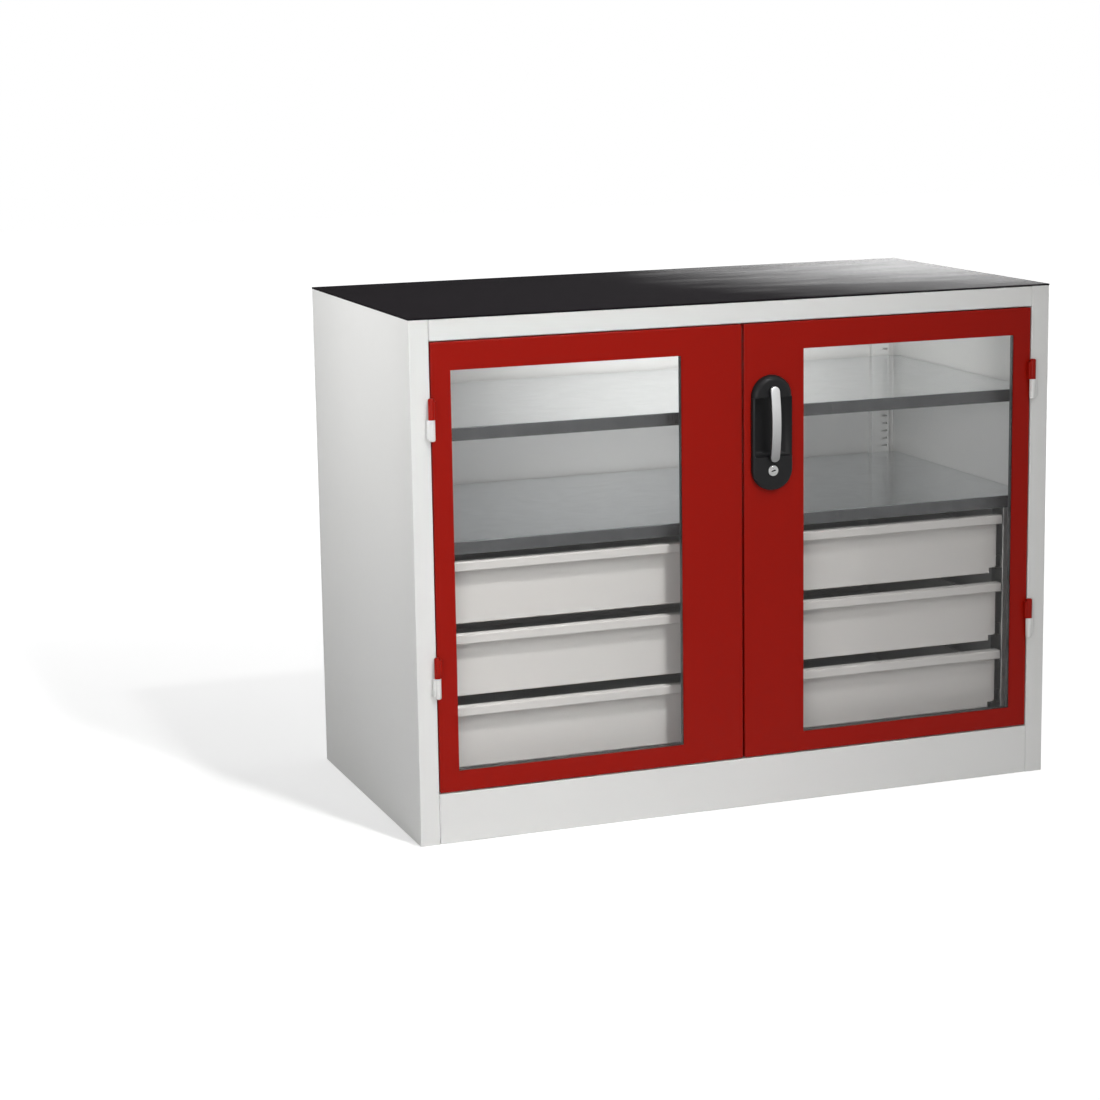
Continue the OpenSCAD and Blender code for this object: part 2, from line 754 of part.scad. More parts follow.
// Hat section inside the left door's middle stile
module left_door_stiffener() {
  x0 = door_edge + door_lip + 8;
  x1 = window_x0 - pane_lap - 8;
  d1 = door_t - 2 * sheet;
  color(galvanised) left() upright(door_bottom + door_lip + 4, door_top - door_lip - 4) bent_sheet([
    [x0, at(sheet + gal_t / 2)], [x0 + flange_w, at(sheet + gal_t / 2)], [x0 + flange_w, at(d1)],
    [x1 - flange_w, at(d1)], [x1 - flange_w, at(sheet + gal_t / 2)], [x1, at(sheet + gal_t / 2)]
  ], gal_t);
}

module rod_keepers() color(galvanised) {
  keeper_w = 50;
  keeper_t = 2;
  difference() {
    block([upper_rod_x - keeper_w / 2, at(sheet + bend_r), rail_z + sheet],
          [upper_rod_x + keeper_w / 2, at(stop_d - bend_r), rail_z + sheet + keeper_t]);
    rod_passage(upper_rod_x, rail_z);
  }
  difference() {
    block([lower_rod_x - keeper_w / 2, at(sheet + bend_r), plinth_h - sheet - keeper_t],
          [lower_rod_x + keeper_w / 2, at(stop_d), plinth_h - sheet]);
    rod_passage(lower_rod_x, plinth_h);
  }
}

// Round rubber pads on the lip behind the doors' top corners and on the floor's front edge
module door_buffers() color(black_rubber) both_sides() for (x = [door_x - door_w / 3, door_x + door_w / 3]) {
  translate([x, 0, rail_z - stop_h / 2 - 1]) rod_along_y(at(door_t + 0.3), at(stop_d), 4);
  translate([x, 0, plinth_h + floor_rise / 2]) rod_along_y(at(door_t + 0.3), at(stop_d), floor_rise / 2 - 1);
}

// Handle

module at_handle_screws() {
  for (x = [-1, 1]) {
    translate([handle_x + x * upper_screw_x, 0, spindle_z + upper_screw_z]) children();
    translate([handle_x + x * lower_screw_x, 0, lock_z - lower_screw_z]) children();
  }
}

// Half section of the shell's rounded rim, for turning about its upright edge
module shell_half_section() {
  r = shell_w / 2;
  square([r, shell_out - shell_edge]);
  square([r - shell_edge, shell_out]);
  translate([r - shell_edge, shell_out - shell_edge]) circle(shell_edge);
}

// Long body with half-round ends and rounded front edges
module shell_body() {
  ends = (shell_l - shell_w) / 2;
  translate([handle_x, at(0), handle_z]) rotate([90, 0, 0]) {
    for (y = [-1, 1]) translate([0, y * ends, 0]) rotate_extrude() intersection() {
      shell_half_section();
      square([shell_w, shell_out]);
    }
    translate([0, ends, 0]) rotate([90, 0, 0]) linear_extrude(2 * ends) {
      shell_half_section();
      mirror([1, 0]) shell_half_section();
    }
  }
}

module handle_shell() color(black_plastic) difference() {
  union() {
    shell_body();
    block([handle_x - recess_half - recess_t, at(-recess_t), handle_z - recess_bottom - recess_t],
          [handle_x + recess_half + recess_t, at(recess_back), handle_z + recess_top + recess_t]);
  }
  block([handle_x - recess_half, at(-shell_out - cut), handle_z - recess_bottom],
        [handle_x + recess_half, at(recess_in), handle_z + recess_top]);
  translate([handle_x, 0, spindle_z]) rod_along_y(at(-shell_out - cut), at(cut), spindle_r + run_gap);
  translate([handle_x, 0, lock_z]) rod_along_y(at(-shell_out - cut), at(cut), barrel_r + seat_gap);
  at_handle_screws() rod_along_y(at(-screw_in - rod_gap), at(cut), screw_r + seat_gap);
}

module lock_case() {
  half = recess_half + 7;
  low = handle_z + recess_top + recess_t + 1;
  high = spindle_z + cam_r + case_room;
  case_d = case_back + case_t;
  color(galvanised) difference() {
    union() {
      block([handle_x - half, at(sheet), low], [handle_x + half, at(case_d), high]);
      block([handle_x - half, at(case_back), spindle_z - cam_r - 8], [handle_x + half, at(case_d), low]);
    }
    block([handle_x - half + case_t, at(0), low - cut],
          [handle_x + half - case_t, at(case_back), high - case_t]);
    rod_passage(upper_rod_x, high);
  }
}

// Bracket over a rod, riveted to the inside of the door's face
module rod_guide(x, z) {
  half = rod_w / 2 + rod_gap;
  translate([0, 0, z]) difference() {
    union() {
      block([x - half - case_t, at(sheet), 0], [x + half + case_t, at(case_back + case_t), guide_h]);
      block([x - half - guide_foot, at(sheet), 0], [x + half + guide_foot, at(sheet + case_t), guide_h]);
    }
    block([x - half, at(rod_d - rod_gap), -cut], [x + half, at(case_back), guide_h + cut]);
    block([x - half, at(sheet + case_t), -cut], [x + half, at(rod_d), guide_h + cut]);
  }
}

module rod_guides() color(galvanised) {
  rod_guide(upper_rod_x, door_top - upper_guide_drop);
  rod_guide(lower_rod_x, door_bottom + lower_guide_rise);
  rod_guide(lower_rod_x, (door_bottom + lock_z) / 2);
}

module handle_screws() color(steel) at_handle_screws() {
  rod_along_y(at(-screw_in), at(sheet + screw_head / 2), screw_r);
  rod_along_y(at(sheet), at(sheet + screw_head), 2 * screw_r);
}

module lock_barrel() color(steel) translate([handle_x, 0, lock_z]) difference() {
  union() {
    rod_along_y(at(-shell_out - barrel_out + 1), at(cam_d - 1.5), barrel_r);
    translate([0, at(-shell_out - barrel_out + 1), 0]) rotate([90, 0, 0])
      cylinder(h = 1, r1 = barrel_r, r2 = barrel_r - 1);
  }
  rod_along_y(at(-shell_out - barrel_out - cut), at(cam_d), plug_r + run_gap);
}

module lock_plug() {
  key_tilt = 24;
  plug_front = -shell_out - barrel_out - 0.4;
  color(steel) translate([handle_x, 0, lock_z]) difference() {
    rod_along_y(at(plug_front), at(cam_d - 1), plug_r);
    rotate([0, -key_tilt, 0]) block([-4, at(plug_front - cut), -1.1], [4, at(plug_front + 8), 1.1]);
  }
}

module lock_tongue() color(steel) translate([handle_x, 0, lock_z]) along_y(at(cam_d - 1), at(cam_d + 0.5)) {
  circle(plug_r + 1);
  translate([-5, -18]) square([10, 18]);
}

// Lever

// Bowed flat bar with half-round ends, and a boss that meets the spindle
module lever_bar() {
  half = bar_l / 2;
  bow_r = (half * half + bar_rise * bar_rise) / (2 * bar_rise);
  inner_d = -shell_out - lever_gap;
  bow_y = at(inner_d - bar_rise) + bow_r;
  color(steel) {
    intersection() {
      translate([handle_x, bow_y, bar_z]) difference() {
        rod_along_x(-bar_w, bar_w, bow_r + bar_t);
        rod_along_x(-bar_w - cut, bar_w + cut, bow_r);
      }
      translate([handle_x, 0, bar_z]) along_y(at(-2 * handle_out), at(0))
        round_rect(bar_w, bar_l, bar_w / 2 - 0.01);
    }
    translate([handle_x, 0, spindle_z]) rod_along_y(at(inner_d - bar_t), at(inner_d), spindle_r);
  }
}

module lever_spindle() color(steel) translate([handle_x, 0, spindle_z])
  rod_along_y(at(-shell_out - lever_gap), at(cam_d), spindle_r);

// Disc on the spindle's inner end, with a pin for each rod
module drive_cam() color(steel) translate([handle_x, 0, spindle_z]) {
  rod_along_y(at(cam_d), at(cam_d + cam_t), cam_r);
  for (side = [-1, 1]) translate([side * pin_level, 0, -side * pin_level])
    rod_along_y(at(cam_d + cam_t - 0.5), at(rod_back + rod_gap / 2), cam_pin_r);
}

// Flat rod that stands up from its slotted eye, which is centred on the origin
module rod_shape(length) {
  difference() {
    union() {
      block([-eye_half, at(rod_d), -6], [eye_half, at(rod_back), 6]);
      block([-rod_w / 2, at(rod_d), 0], [rod_w / 2, at(rod_back), length]);
    }
    block([-slot_half, at(rod_d - cut), -cam_pin_r - rod_gap],
          [slot_half, at(rod_back + cut), cam_pin_r + rod_gap]);
  }
}

module upper_rod() {
  eye_z = spindle_z + pin_level;
  color(galvanised) translate([upper_rod_x, 0, eye_z]) rod_shape(door_top - eye_z);
}

module lower_rod() {
  eye_z = spindle_z - pin_level;
  color(galvanised) translate([lower_rod_x, 0, eye_z]) mirror([0, 0, 1]) rod_shape(eye_z - door_bottom);
}

left_side_panel();
right_side_panel();
back_panel();
floor_panel();
top_panel();
plinth_panel();
rubber_mat();
left_slot_strips();
right_slot_strips();
upper_shelf();
lower_shelf();
upper_shelf_clips();
lower_shelf_clips();
left_runner_posts();
right_runner_posts();
cabinet_rails_top();
cabinet_rails_middle();
cabinet_rails_bottom();
front_axles();
frame_knuckles();
hinge_pins();
rod_keepers();
door_buffers();
left_door_panel();
left_pane();
left_pane_retainer();
left_door_knuckles();
left_door_stiffener();
right_door_panel();
right_pane();
right_pane_retainer();
right_door_knuckles();
handle_shell();
lock_case();
rod_guides();
lock_barrel();
handle_screws();
lever_bar();
lever_spindle();
drive_cam();
upper_rod();
lower_rod();
lock_plug();
lock_tongue();
drawer_top();
drawer_middle();
drawer_bottom();
drawer_rails_top();
drawer_rails_middle();
drawer_rails_bottom();
rear_axles_top();
rear_axles_middle();
rear_axles_bottom();
front_rollers_top();
front_rollers_middle();
front_rollers_bottom();
rear_rollers_top();
rear_rollers_middle();
rear_rollers_bottom();
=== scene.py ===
import math

import bmesh
import bpy
from mathutils import Matrix, Vector


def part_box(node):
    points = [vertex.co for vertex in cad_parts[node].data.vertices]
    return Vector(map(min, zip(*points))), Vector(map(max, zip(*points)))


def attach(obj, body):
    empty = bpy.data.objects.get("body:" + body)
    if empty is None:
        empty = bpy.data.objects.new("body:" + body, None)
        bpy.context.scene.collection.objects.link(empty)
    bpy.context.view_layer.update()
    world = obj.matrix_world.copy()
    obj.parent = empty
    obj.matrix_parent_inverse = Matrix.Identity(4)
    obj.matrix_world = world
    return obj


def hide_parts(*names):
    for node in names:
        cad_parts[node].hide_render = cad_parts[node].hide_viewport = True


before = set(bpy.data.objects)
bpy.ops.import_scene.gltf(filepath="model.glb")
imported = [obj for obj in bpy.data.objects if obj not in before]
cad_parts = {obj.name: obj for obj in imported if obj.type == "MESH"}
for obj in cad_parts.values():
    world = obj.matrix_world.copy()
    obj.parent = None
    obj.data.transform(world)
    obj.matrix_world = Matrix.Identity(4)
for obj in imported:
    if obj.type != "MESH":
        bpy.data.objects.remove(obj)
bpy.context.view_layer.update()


# Carcass: side walls, back, floor, top and plinth folded from 1 mm steel sheet, spot-welded
# together and powder-coated light grey in one go, with the slotted strips welded inside.
# The film is satin, with the faint orange peel that a baked powder leaves.
CARCASS_NODES = (
    "left_side_panel", "right_side_panel", "back_panel", "floor_panel", "top_panel",
    "plinth_panel", "left_slot_strips", "right_slot_strips",
)
CARCASS_GREY = (221, 221, 219)
CARCASS_ROUGHNESS = 0.42
FILM_DRIFT_LUMPS = 2.6
FILM_GLOSS_LUMPS, FILM_GLOSS_WIDTH = 55, 0.1


def paint(red, green, blue):
    """A colour as a paint chart gives it, sRGB from 0 to 255, as a shader's linear colour."""
    parts = [c / 255 for c in (red, green, blue)]
    return (*(c / 12.92 if c <= 0.04045 else ((c + 0.055) / 1.055) ** 2.4 for c in parts), 1)


def feed(tree, node, inputs):
    """Sets inputs of a shader node. Each is a value, or the socket that feeds it."""
    for key, value in dict(inputs).items():
        if isinstance(value, bpy.types.NodeSocket):
            tree.links.new(value, node.inputs[key])
        else:
            node.inputs[key].default_value = value


def put(tree, kind, inputs=(), **settings):
    """A new shader node in a tree, with its settings and its inputs."""
    node = tree.nodes.new("ShaderNode" + kind)
    for key, value in settings.items():
        setattr(node, key, value)
    feed(tree, node, inputs)
    return node


def own_place(tree):
    """Where a point lies on its piece, in metres."""
    return put(tree, "TexCoord").outputs["Object"]


def reckon(tree, operation, *values):
    """What a Math node makes of values and sockets."""
    return put(tree, "Math", dict(enumerate(values)), operation=operation).outputs[0]


def noise(tree, spot, lumps, detail=2.0):
    """A soft noise from 0 to 1, with so many lumps to the metre."""
    texture = put(tree, "TexNoise", {"Vector": spot, "Scale": lumps, "Detail": detail})
    return texture.outputs["Fac"]


def swing(tree, value, width, middle=0.0):
    """A 0 to 1 value spread over a width, evenly about a middle."""
    return reckon(tree, "MULTIPLY_ADD", reckon(tree, "SUBTRACT", value, 0.5), width, middle)


def about_one(tree, value, amount):
    """A 0 to 1 value as a level about 1, by an amount either way."""
    return reckon(tree, "MULTIPLY_ADD", swing(tree, value, 2.0), amount, 1.0)


def shaded(tree, colour, level):
    """A colour made darker or lighter by a level about 1."""
    mix = put(tree, "Mix", {0: 1, 6: colour, 7: level}, data_type="RGBA", blend_type="MULTIPLY")
    return mix.outputs[2]


def new_group(name, inputs, outputs):
    """An empty shader node group with its sockets, its input node and its output node."""
    group = bpy.data.node_groups.new(name, "ShaderNodeTree")
    for label, start in inputs.items():
        kind = "NodeSocketFloat" if isinstance(start, (int, float)) else "NodeSocketColor"
        group.interface.new_socket(label, in_out="INPUT", socket_type=kind).default_value = start
    for label in outputs:
        kind = "NodeSocketColor" if label == "Colour" else "NodeSocketFloat"
        group.interface.new_socket(label, in_out="OUTPUT", socket_type=kind)
    return group, group.nodes.new("NodeGroupInput"), group.nodes.new("NodeGroupOutput")


def new_material(name):
    """A new material, with its node tree and its shader."""
    material = bpy.data.materials.new(name)
    material.use_nodes = True
    return material, material.node_tree, material.node_tree.nodes["Principled BSDF"]


def surface(name, group, values, bump, depth, **sockets):
    """A material whose colour, roughness and relief come from a group, the rest from sockets."""
    material, tree, shader = new_material(name)
    look = put(tree, "Group", values, node_tree=group).outputs
    relief = put(tree, "Bump", {"Height": look["Height"], "Strength": bump, "Distance": depth})
    feed(tree, shader, {
        "Base Color": look["Colour"], "Roughness": look["Roughness"],
        "Normal": relief.outputs["Normal"]})
    if "Shine" in values:
        feed(tree, shader, {"Coat Weight": look["Shine"]})
    feed(tree, shader, {label.replace("_", " "): value for label, value in sockets.items()})
    return material


def dress(material, *names):
    """Puts a material on CAD nodes that keep their own shape."""
    for name in names:
        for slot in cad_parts[name].material_slots:
            slot.material = material


powder_film, powder_in, powder_out = new_group(
    "powder_film",
    {"Paint": (0.7, 0.7, 0.7, 1), "Drift": 0.04, "Gloss": 0.4, "Peel": 420.0},
    ("Colour", "Roughness", "Height"))
film_place = own_place(powder_film)
film_drift = about_one(
    powder_film, noise(powder_film, film_place, FILM_DRIFT_LUMPS, detail=3),
    powder_in.outputs["Drift"])
film_gloss = swing(
    powder_film, noise(powder_film, film_place, FILM_GLOSS_LUMPS), FILM_GLOSS_WIDTH)
feed(powder_film, powder_out, {
    "Colour": shaded(powder_film, powder_in.outputs["Paint"], film_drift),
    "Roughness": reckon(powder_film, "ADD", film_gloss, powder_in.outputs["Gloss"]),
    "Height": noise(powder_film, film_place, powder_in.outputs["Peel"], detail=1.5)})

carcass_grey = surface(
    "carcass_grey_powder", powder_film,
    {"Paint": paint(*CARCASS_GREY), "Drift": 0.02, "Gloss": CARCASS_ROUGHNESS, "Peel": 380.0},
    bump=0.04, depth=0.0003, Specular_IOR_Level=0.35)
dress(carcass_grey, *CARCASS_NODES)


# Top mat: one sheet of black rubber, 3 mm thick, rolled with fine ribs along the width and
# trimmed flush with the top. It lies loose, and its skin has a faint bloom in patches and a
# soft shine towards one corner.
RIB_PITCH, RIB_ROUND = 0.003, 0.0005
MAT_BLACK = (24, 21, 24)
SKIN_STRETCH = (0.25, 1, 1)
SKIN_PATCHES, SKIN_GRAIN = 22, 900
SKIN_GLOSS_WIDTH = 0.08
SHINE_RAGGED = 0.25
NEAR = 1e-5
ALIGNED = 0.99


def settled(name, scale=(1, 1, 1)):
    """Names and scales the primitive just added, and puts its place into its mesh."""
    piece = bpy.context.object
    piece.name = piece.data.name = name
    piece.scale = scale
    bpy.ops.object.transform_apply(location=True, rotation=True, scale=True)
    return piece


def blank(name, low, high):
    """A box-shaped blank between two corners, alone in the selection."""
    low, high = Vector(low), Vector(high)
    bpy.ops.object.select_all(action="DESELECT")
    bpy.ops.mesh.primitive_cube_add(size=1, location=(low + high) / 2)
    return settled(name, high - low)


def pick(kind, test):
    """In edit mode, selects the corners, edges or faces whose place and direction pass a test."""
    bpy.ops.mesh.select_mode(type=kind)
    bpy.ops.mesh.select_all(action="DESELECT")
    mesh = bmesh.from_edit_mesh(bpy.context.edit_object.data)
    mesh.normal_update()
    if kind == "VERT":
        chosen = [v for v in mesh.verts if test(v.co)]
    elif kind == "FACE":
        chosen = [f for f in mesh.faces if test(f.calc_center_median(), f.normal)]
    else:
        ends = [(e, e.verts[0].co, e.verts[1].co) for e in mesh.edges]
        chosen = [e for e, a, b in ends if test((a + b) / 2, (b - a).normalized())]
    for part in chosen:
        part.select_set(True)
    bmesh.update_edit_mesh(bpy.context.edit_object.data)


def round_edges(radius, steps, test):
    """Rounds those edges of the active piece whose place and direction pass a test."""
    bpy.ops.object.mode_set(mode="EDIT")
    pick("EDGE", test)
    bpy.ops.mesh.bevel(offset=radius, segments=steps, profile=0.5)
    bpy.ops.object.mode_set(mode="OBJECT")


def outward(piece):
    """Turns all faces of a closed piece outwards."""
    bpy.context.view_layer.objects.active = piece
    bpy.ops.object.mode_set(mode="EDIT")
    bpy.ops.mesh.select_all(action="SELECT")
    bpy.ops.mesh.normals_make_consistent(inside=False)
    bpy.ops.object.mode_set(mode="OBJECT")


def modify(piece, kind, **settings):
    """Adds a modifier to a piece and applies it."""
    bpy.context.view_layer.objects.active = piece
    modifier = piece.modifiers.new(kind.lower(), kind)
    for key, value in settings.items():
        setattr(modifier, key, value)
    bpy.ops.object.modifier_apply(modifier=modifier.name)


def finished(piece, material, body, slot, *nodes):
    """Gives a new piece its material and its body, and hides the CAD nodes that it stands for. The
    slot is not used.
    """
    piece.data.materials.clear()
    piece.data.materials.append(material)
    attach(piece, body)
    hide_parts(*nodes)


mat_low, mat_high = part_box("rubber_mat")
rib_count = round((mat_high.y - mat_low.y) / RIB_PITCH)
rib_pitch = (mat_high.y - mat_low.y) / rib_count
ribbed_mat = blank("ribbed_mat", mat_low, (mat_high.x, mat_low.y + rib_pitch, mat_high.z))
round_edges(RIB_ROUND, 3, lambda mid, way: abs(way.x) > ALIGNED and mid.z > mat_high.z - NEAR)
bpy.ops.object.mode_set(mode="EDIT")
pick("FACE", lambda mid, out: abs(out.y) > ALIGNED)
bpy.ops.mesh.delete(type="FACE")
bpy.ops.object.mode_set(mode="OBJECT")
modify(ribbed_mat, "ARRAY", count=rib_count, use_relative_offset=False, use_constant_offset=True,
       constant_offset_displace=(0, rib_pitch, 0), use_merge_vertices=True, merge_threshold=NEAR)
bpy.ops.object.mode_set(mode="EDIT")
bpy.ops.mesh.select_all(action="SELECT")
bpy.ops.mesh.fill_holes(sides=0)
bpy.ops.object.mode_set(mode="OBJECT")
outward(ribbed_mat)

rubber_skin, rubber_in, rubber_out = new_group(
    "rubber_skin",
    {"Rubber": (0.01, 0.01, 0.01, 1), "Bloom": 0.3, "Gloss": 0.7, "Shine": 0.0, "Shine X": 0.0,
     "Shine Y": 0.0, "Shine reach": 0.5},
    ("Colour", "Roughness", "Height", "Shine"))
skin_place = own_place(rubber_skin)
skin_along = put(rubber_skin, "Mapping", {"Vector": skin_place, "Scale": SKIN_STRETCH})
skin_patch = noise(rubber_skin, skin_along.outputs[0], SKIN_PATCHES, detail=4)
skin_bloom = about_one(rubber_skin, skin_patch, rubber_in.outputs["Bloom"])
skin_gloss = swing(rubber_skin, skin_patch, SKIN_GLOSS_WIDTH)
skin_flat = put(rubber_skin, "VectorMath", {0: skin_place, 1: (1, 1, 0)}, operation="MULTIPLY")
shine_spot = put(rubber_skin, "CombineXYZ", {
    "X": rubber_in.outputs["Shine X"], "Y": rubber_in.outputs["Shine Y"]})
shine_far = put(rubber_skin, "VectorMath", {
    0: skin_flat.outputs[0], 1: shine_spot.outputs[0]}, operation="DISTANCE")
shine_streak = reckon(
    rubber_skin, "ADD", shine_far.outputs["Value"], swing(rubber_skin, skin_patch, SHINE_RAGGED))
shine_fade = put(rubber_skin, "MapRange", {
    "Value": shine_streak, "From Min": rubber_in.outputs["Shine reach"], "From Max": 0.0,
    "To Min": 0.0, "To Max": rubber_in.outputs["Shine"]}, interpolation_type="SMOOTHSTEP")
feed(rubber_skin, rubber_out, {
    "Colour": shaded(rubber_skin, rubber_in.outputs["Rubber"], skin_bloom),
    "Roughness": reckon(rubber_skin, "ADD", skin_gloss, rubber_in.outputs["Gloss"]),
    "Height": noise(rubber_skin, skin_place, SKIN_GRAIN),
    "Shine": shine_fade.outputs["Result"]})

mat_rubber = surface(
    "mat_rubber_ribbed", rubber_skin,
    {"Rubber": paint(*MAT_BLACK), "Bloom": 0.35, "Gloss": 0.86, "Shine": 0.5, "Shine X": 0.70,
     "Shine Y": 0.22, "Shine reach": 0.80},
    bump=0.15, depth=0.0002, Specular_IOR_Level=0.02, Coat_Roughness=0.22)
finished(ribbed_mat, mat_rubber, "carcass", "mat_rubber", "rubber_mat")


# Shelves, their clips and the runner posts: 1.2 mm steel strip, hot-dip galvanised before it is
# folded, so the zinc crystals show as a soft spangle. The shelves hang on clips in the slots.
# The faces that look forwards are rougher, and a streaked painted shade darkens their zinc.
ZINC = (221, 224, 226)
POST_ZINC = (172, 171, 169)
FLAKE_WARP_LUMPS, FLAKE_WARP = 40.0, 0.02
FLAKE_GLOSS_WIDTH = 0.06
FOLD_FULL, FOLD_NONE = -0.9, -0.4
FOLD_ROUGHER = 0.45
STREAK_STRETCH = (1, 1, 0.08)
STREAK_LUMPS, STREAK_WIDTH = 320, 0.10
BELOW_FULL, BELOW_NONE = -0.22, 0.12

zinc_spangle, zinc_in, zinc_out = new_group(
    "zinc_spangle",
    {"Zinc": (0.4, 0.4, 0.4, 1), "Flakes": 70.0, "Contrast": 0.2, "Gloss": 0.3,
     "Painted shade forwards": 0.0, "Painted shade below": 0.0},
    ("Colour", "Roughness", "Height"))
zinc_place = own_place(zinc_spangle)
zinc_warp = put(zinc_spangle, "TexNoise", {
    "Vector": zinc_place, "Scale": FLAKE_WARP_LUMPS, "Detail": 2.0})
zinc_shift = put(zinc_spangle, "VectorMath", {
    0: zinc_warp.outputs["Color"], "Scale": FLAKE_WARP}, operation="SCALE")
zinc_spot = put(zinc_spangle, "VectorMath", {
    0: zinc_place, 1: zinc_shift.outputs[0]}, operation="ADD")
zinc_flake = put(zinc_spangle, "TexVoronoi", {
    "Vector": zinc_spot.outputs[0], "Scale": zinc_in.outputs["Flakes"]})
zinc_tones = put(zinc_spangle, "SeparateColor", {"Color": zinc_flake.outputs["Color"]}).outputs
zinc_level = about_one(zinc_spangle, zinc_tones[0], zinc_in.outputs["Contrast"])
zinc_facing = put(zinc_spangle, "SeparateXYZ", {
    "Vector": put(zinc_spangle, "TexCoord").outputs["Normal"]}).outputs
# Faces that look forwards, for more roughness and for a painted shade.
zinc_fold = put(zinc_spangle, "MapRange", {
    "Value": zinc_facing["Y"], "From Min": FOLD_FULL, "From Max": FOLD_NONE,
    "To Min": zinc_in.outputs["Painted shade forwards"], "To Max": 0.0}).outputs["Result"]
# Faces that turn down, for a painted shade.
zinc_shade_below = put(zinc_spangle, "MapRange", {
    "Value": zinc_facing["Z"], "From Min": BELOW_FULL, "From Max": BELOW_NONE,
    "To Min": zinc_in.outputs["Painted shade below"], "To Max": 0.0}).outputs["Result"]
zinc_along = put(zinc_spangle, "Mapping", {"Vector": zinc_place, "Scale": STREAK_STRETCH})
zinc_streaks = swing(
    zinc_spangle, noise(zinc_spangle, zinc_along.outputs[0], STREAK_LUMPS, detail=3),
    STREAK_WIDTH, 1.0)
zinc_shade_forwards = reckon(zinc_spangle, "MULTIPLY", zinc_streaks, zinc_fold)
zinc_painted_shade = reckon(zinc_spangle, "ADD", zinc_shade_forwards, zinc_shade_below)
zinc_tone = reckon(
    zinc_spangle, "MULTIPLY", zinc_level, reckon(zinc_spangle, "SUBTRACT", 1.0, zinc_painted_shade))
zinc_rough = reckon(
    zinc_spangle, "ADD", swing(zinc_spangle, zinc_tones[1], FLAKE_GLOSS_WIDTH),
    zinc_in.outputs["Gloss"])
feed(zinc_spangle, zinc_out, {
    "Colour": shaded(zinc_spangle, zinc_in.outputs["Zinc"], zinc_tone),
    "Roughness": reckon(zinc_spangle, "MULTIPLY_ADD", zinc_fold, FOLD_ROUGHER, zinc_rough),
    "Height": zinc_tones[2]})

# The shelves' forward faces are made much darker by painted shade, the posts' a little.
shelf_zinc = surface(
    "shelf_zinc", zinc_spangle,
    {"Zinc": paint(*ZINC), "Flakes": 55.0, "Contrast": 0.04, "Gloss": 0.13, "Painted shade forwards": 0.90},
    bump=0.006, depth=0.0003, Metallic=1.0)
post_zinc = surface(
    "post_zinc", zinc_spangle,
    {"Zinc": paint(*POST_ZINC), "Flakes": 70.0, "Contrast": 0.06, "Gloss": 0.42,
     "Painted shade forwards": 0.35},
    bump=0.006, depth=0.0003, Metallic=1.0)
dress(shelf_zinc, "upper_shelf", "lower_shelf", "upper_shelf_clips", "lower_shelf_clips")
dress(post_zinc, "left_runner_posts", "right_runner_posts")


# Drawer runners: rolled steel rails with pressed-in axles, zinc-plated after rolling, and turned
# nylon rollers that run on them. They are riveted to the posts and to the drawers' sides.
NYLON = (228, 226, 214)
PLATE_SHADED_GREY = (132, 132, 129)
DRAWERS = ("top", "middle", "bottom")

# The plated grey is painted darker than bright zinc, as shade in the gaps beside the drawers.
plated_steel = surface(
    "plated_steel", zinc_spangle,
    {"Zinc": paint(*PLATE_SHADED_GREY), "Flakes": 400.0, "Contrast": 0.05, "Gloss": 0.32},
    bump=0.02, depth=0.0002, Metallic=1.0)
roller_nylon = surface(
    "roller_nylon", powder_film,
    {"Paint": paint(*NYLON), "Drift": 0.03, "Gloss": 0.45, "Peel": 900.0},
    bump=0.05, depth=0.0002)
dress(plated_steel, "front_axles")
for drawer in DRAWERS:
    dress(plated_steel, f"cabinet_rails_{drawer}", f"drawer_rails_{drawer}", f"rear_axles_{drawer}")
    dress(roller_nylon, f"front_rollers_{drawer}", f"rear_rollers_{drawer}")


# Drawers: trays folded from 1 mm steel sheet with a hemmed rim and a lip in front to pull at,
# spot-welded at the corners and powder-coated a slightly warmer grey than the carcass.
DRAWER_GREY = (191, 189, 186)

drawer_grey = surface(
    "drawer_grey_powder", powder_film,
    {"Paint": paint(*DRAWER_GREY), "Drift": 0.02, "Gloss": 0.45, "Peel": 420.0},
    bump=0.04, depth=0.0003, Specular_IOR_Level=0.35)
dress(drawer_grey, *(f"drawer_{drawer}" for drawer in DRAWERS))


# Doors: steel sheet folded to 16 mm deep pans, with a window cut in each and a stiffener
# welded behind the left one's lock edge, powder-coated a deep red with a smooth semi-gloss.
DOOR_RED = (146, 17, 6)
DOOR_ROUGHNESS = 0.36

door_red = surface(
    "door_red_powder", powder_film,
    {"Paint": paint(*DOOR_RED), "Drift": 0.03, "Gloss": DOOR_ROUGHNESS, "Peel": 340.0},
    bump=0.04, depth=0.0003, Specular_IOR_Level=0.12)
dress(door_red, "left_door_panel", "right_door_panel", "left_door_stiffener")


# Window panes: 3 mm clear acrylic sheet, laid in from behind and held by a clamping frame of
# folded strip steel, dark from its plating. The cut edge of the sheet shows as a thin line.
PANES = ("left_pane", "right_pane")
PANE_TINT = (0.968, 0.967, 0.965, 1)
PANE_IOR = 1.25
HAZE_LUMPS, HAZE = 6, 0.012
RETAINER_GREY = (92, 94, 96)

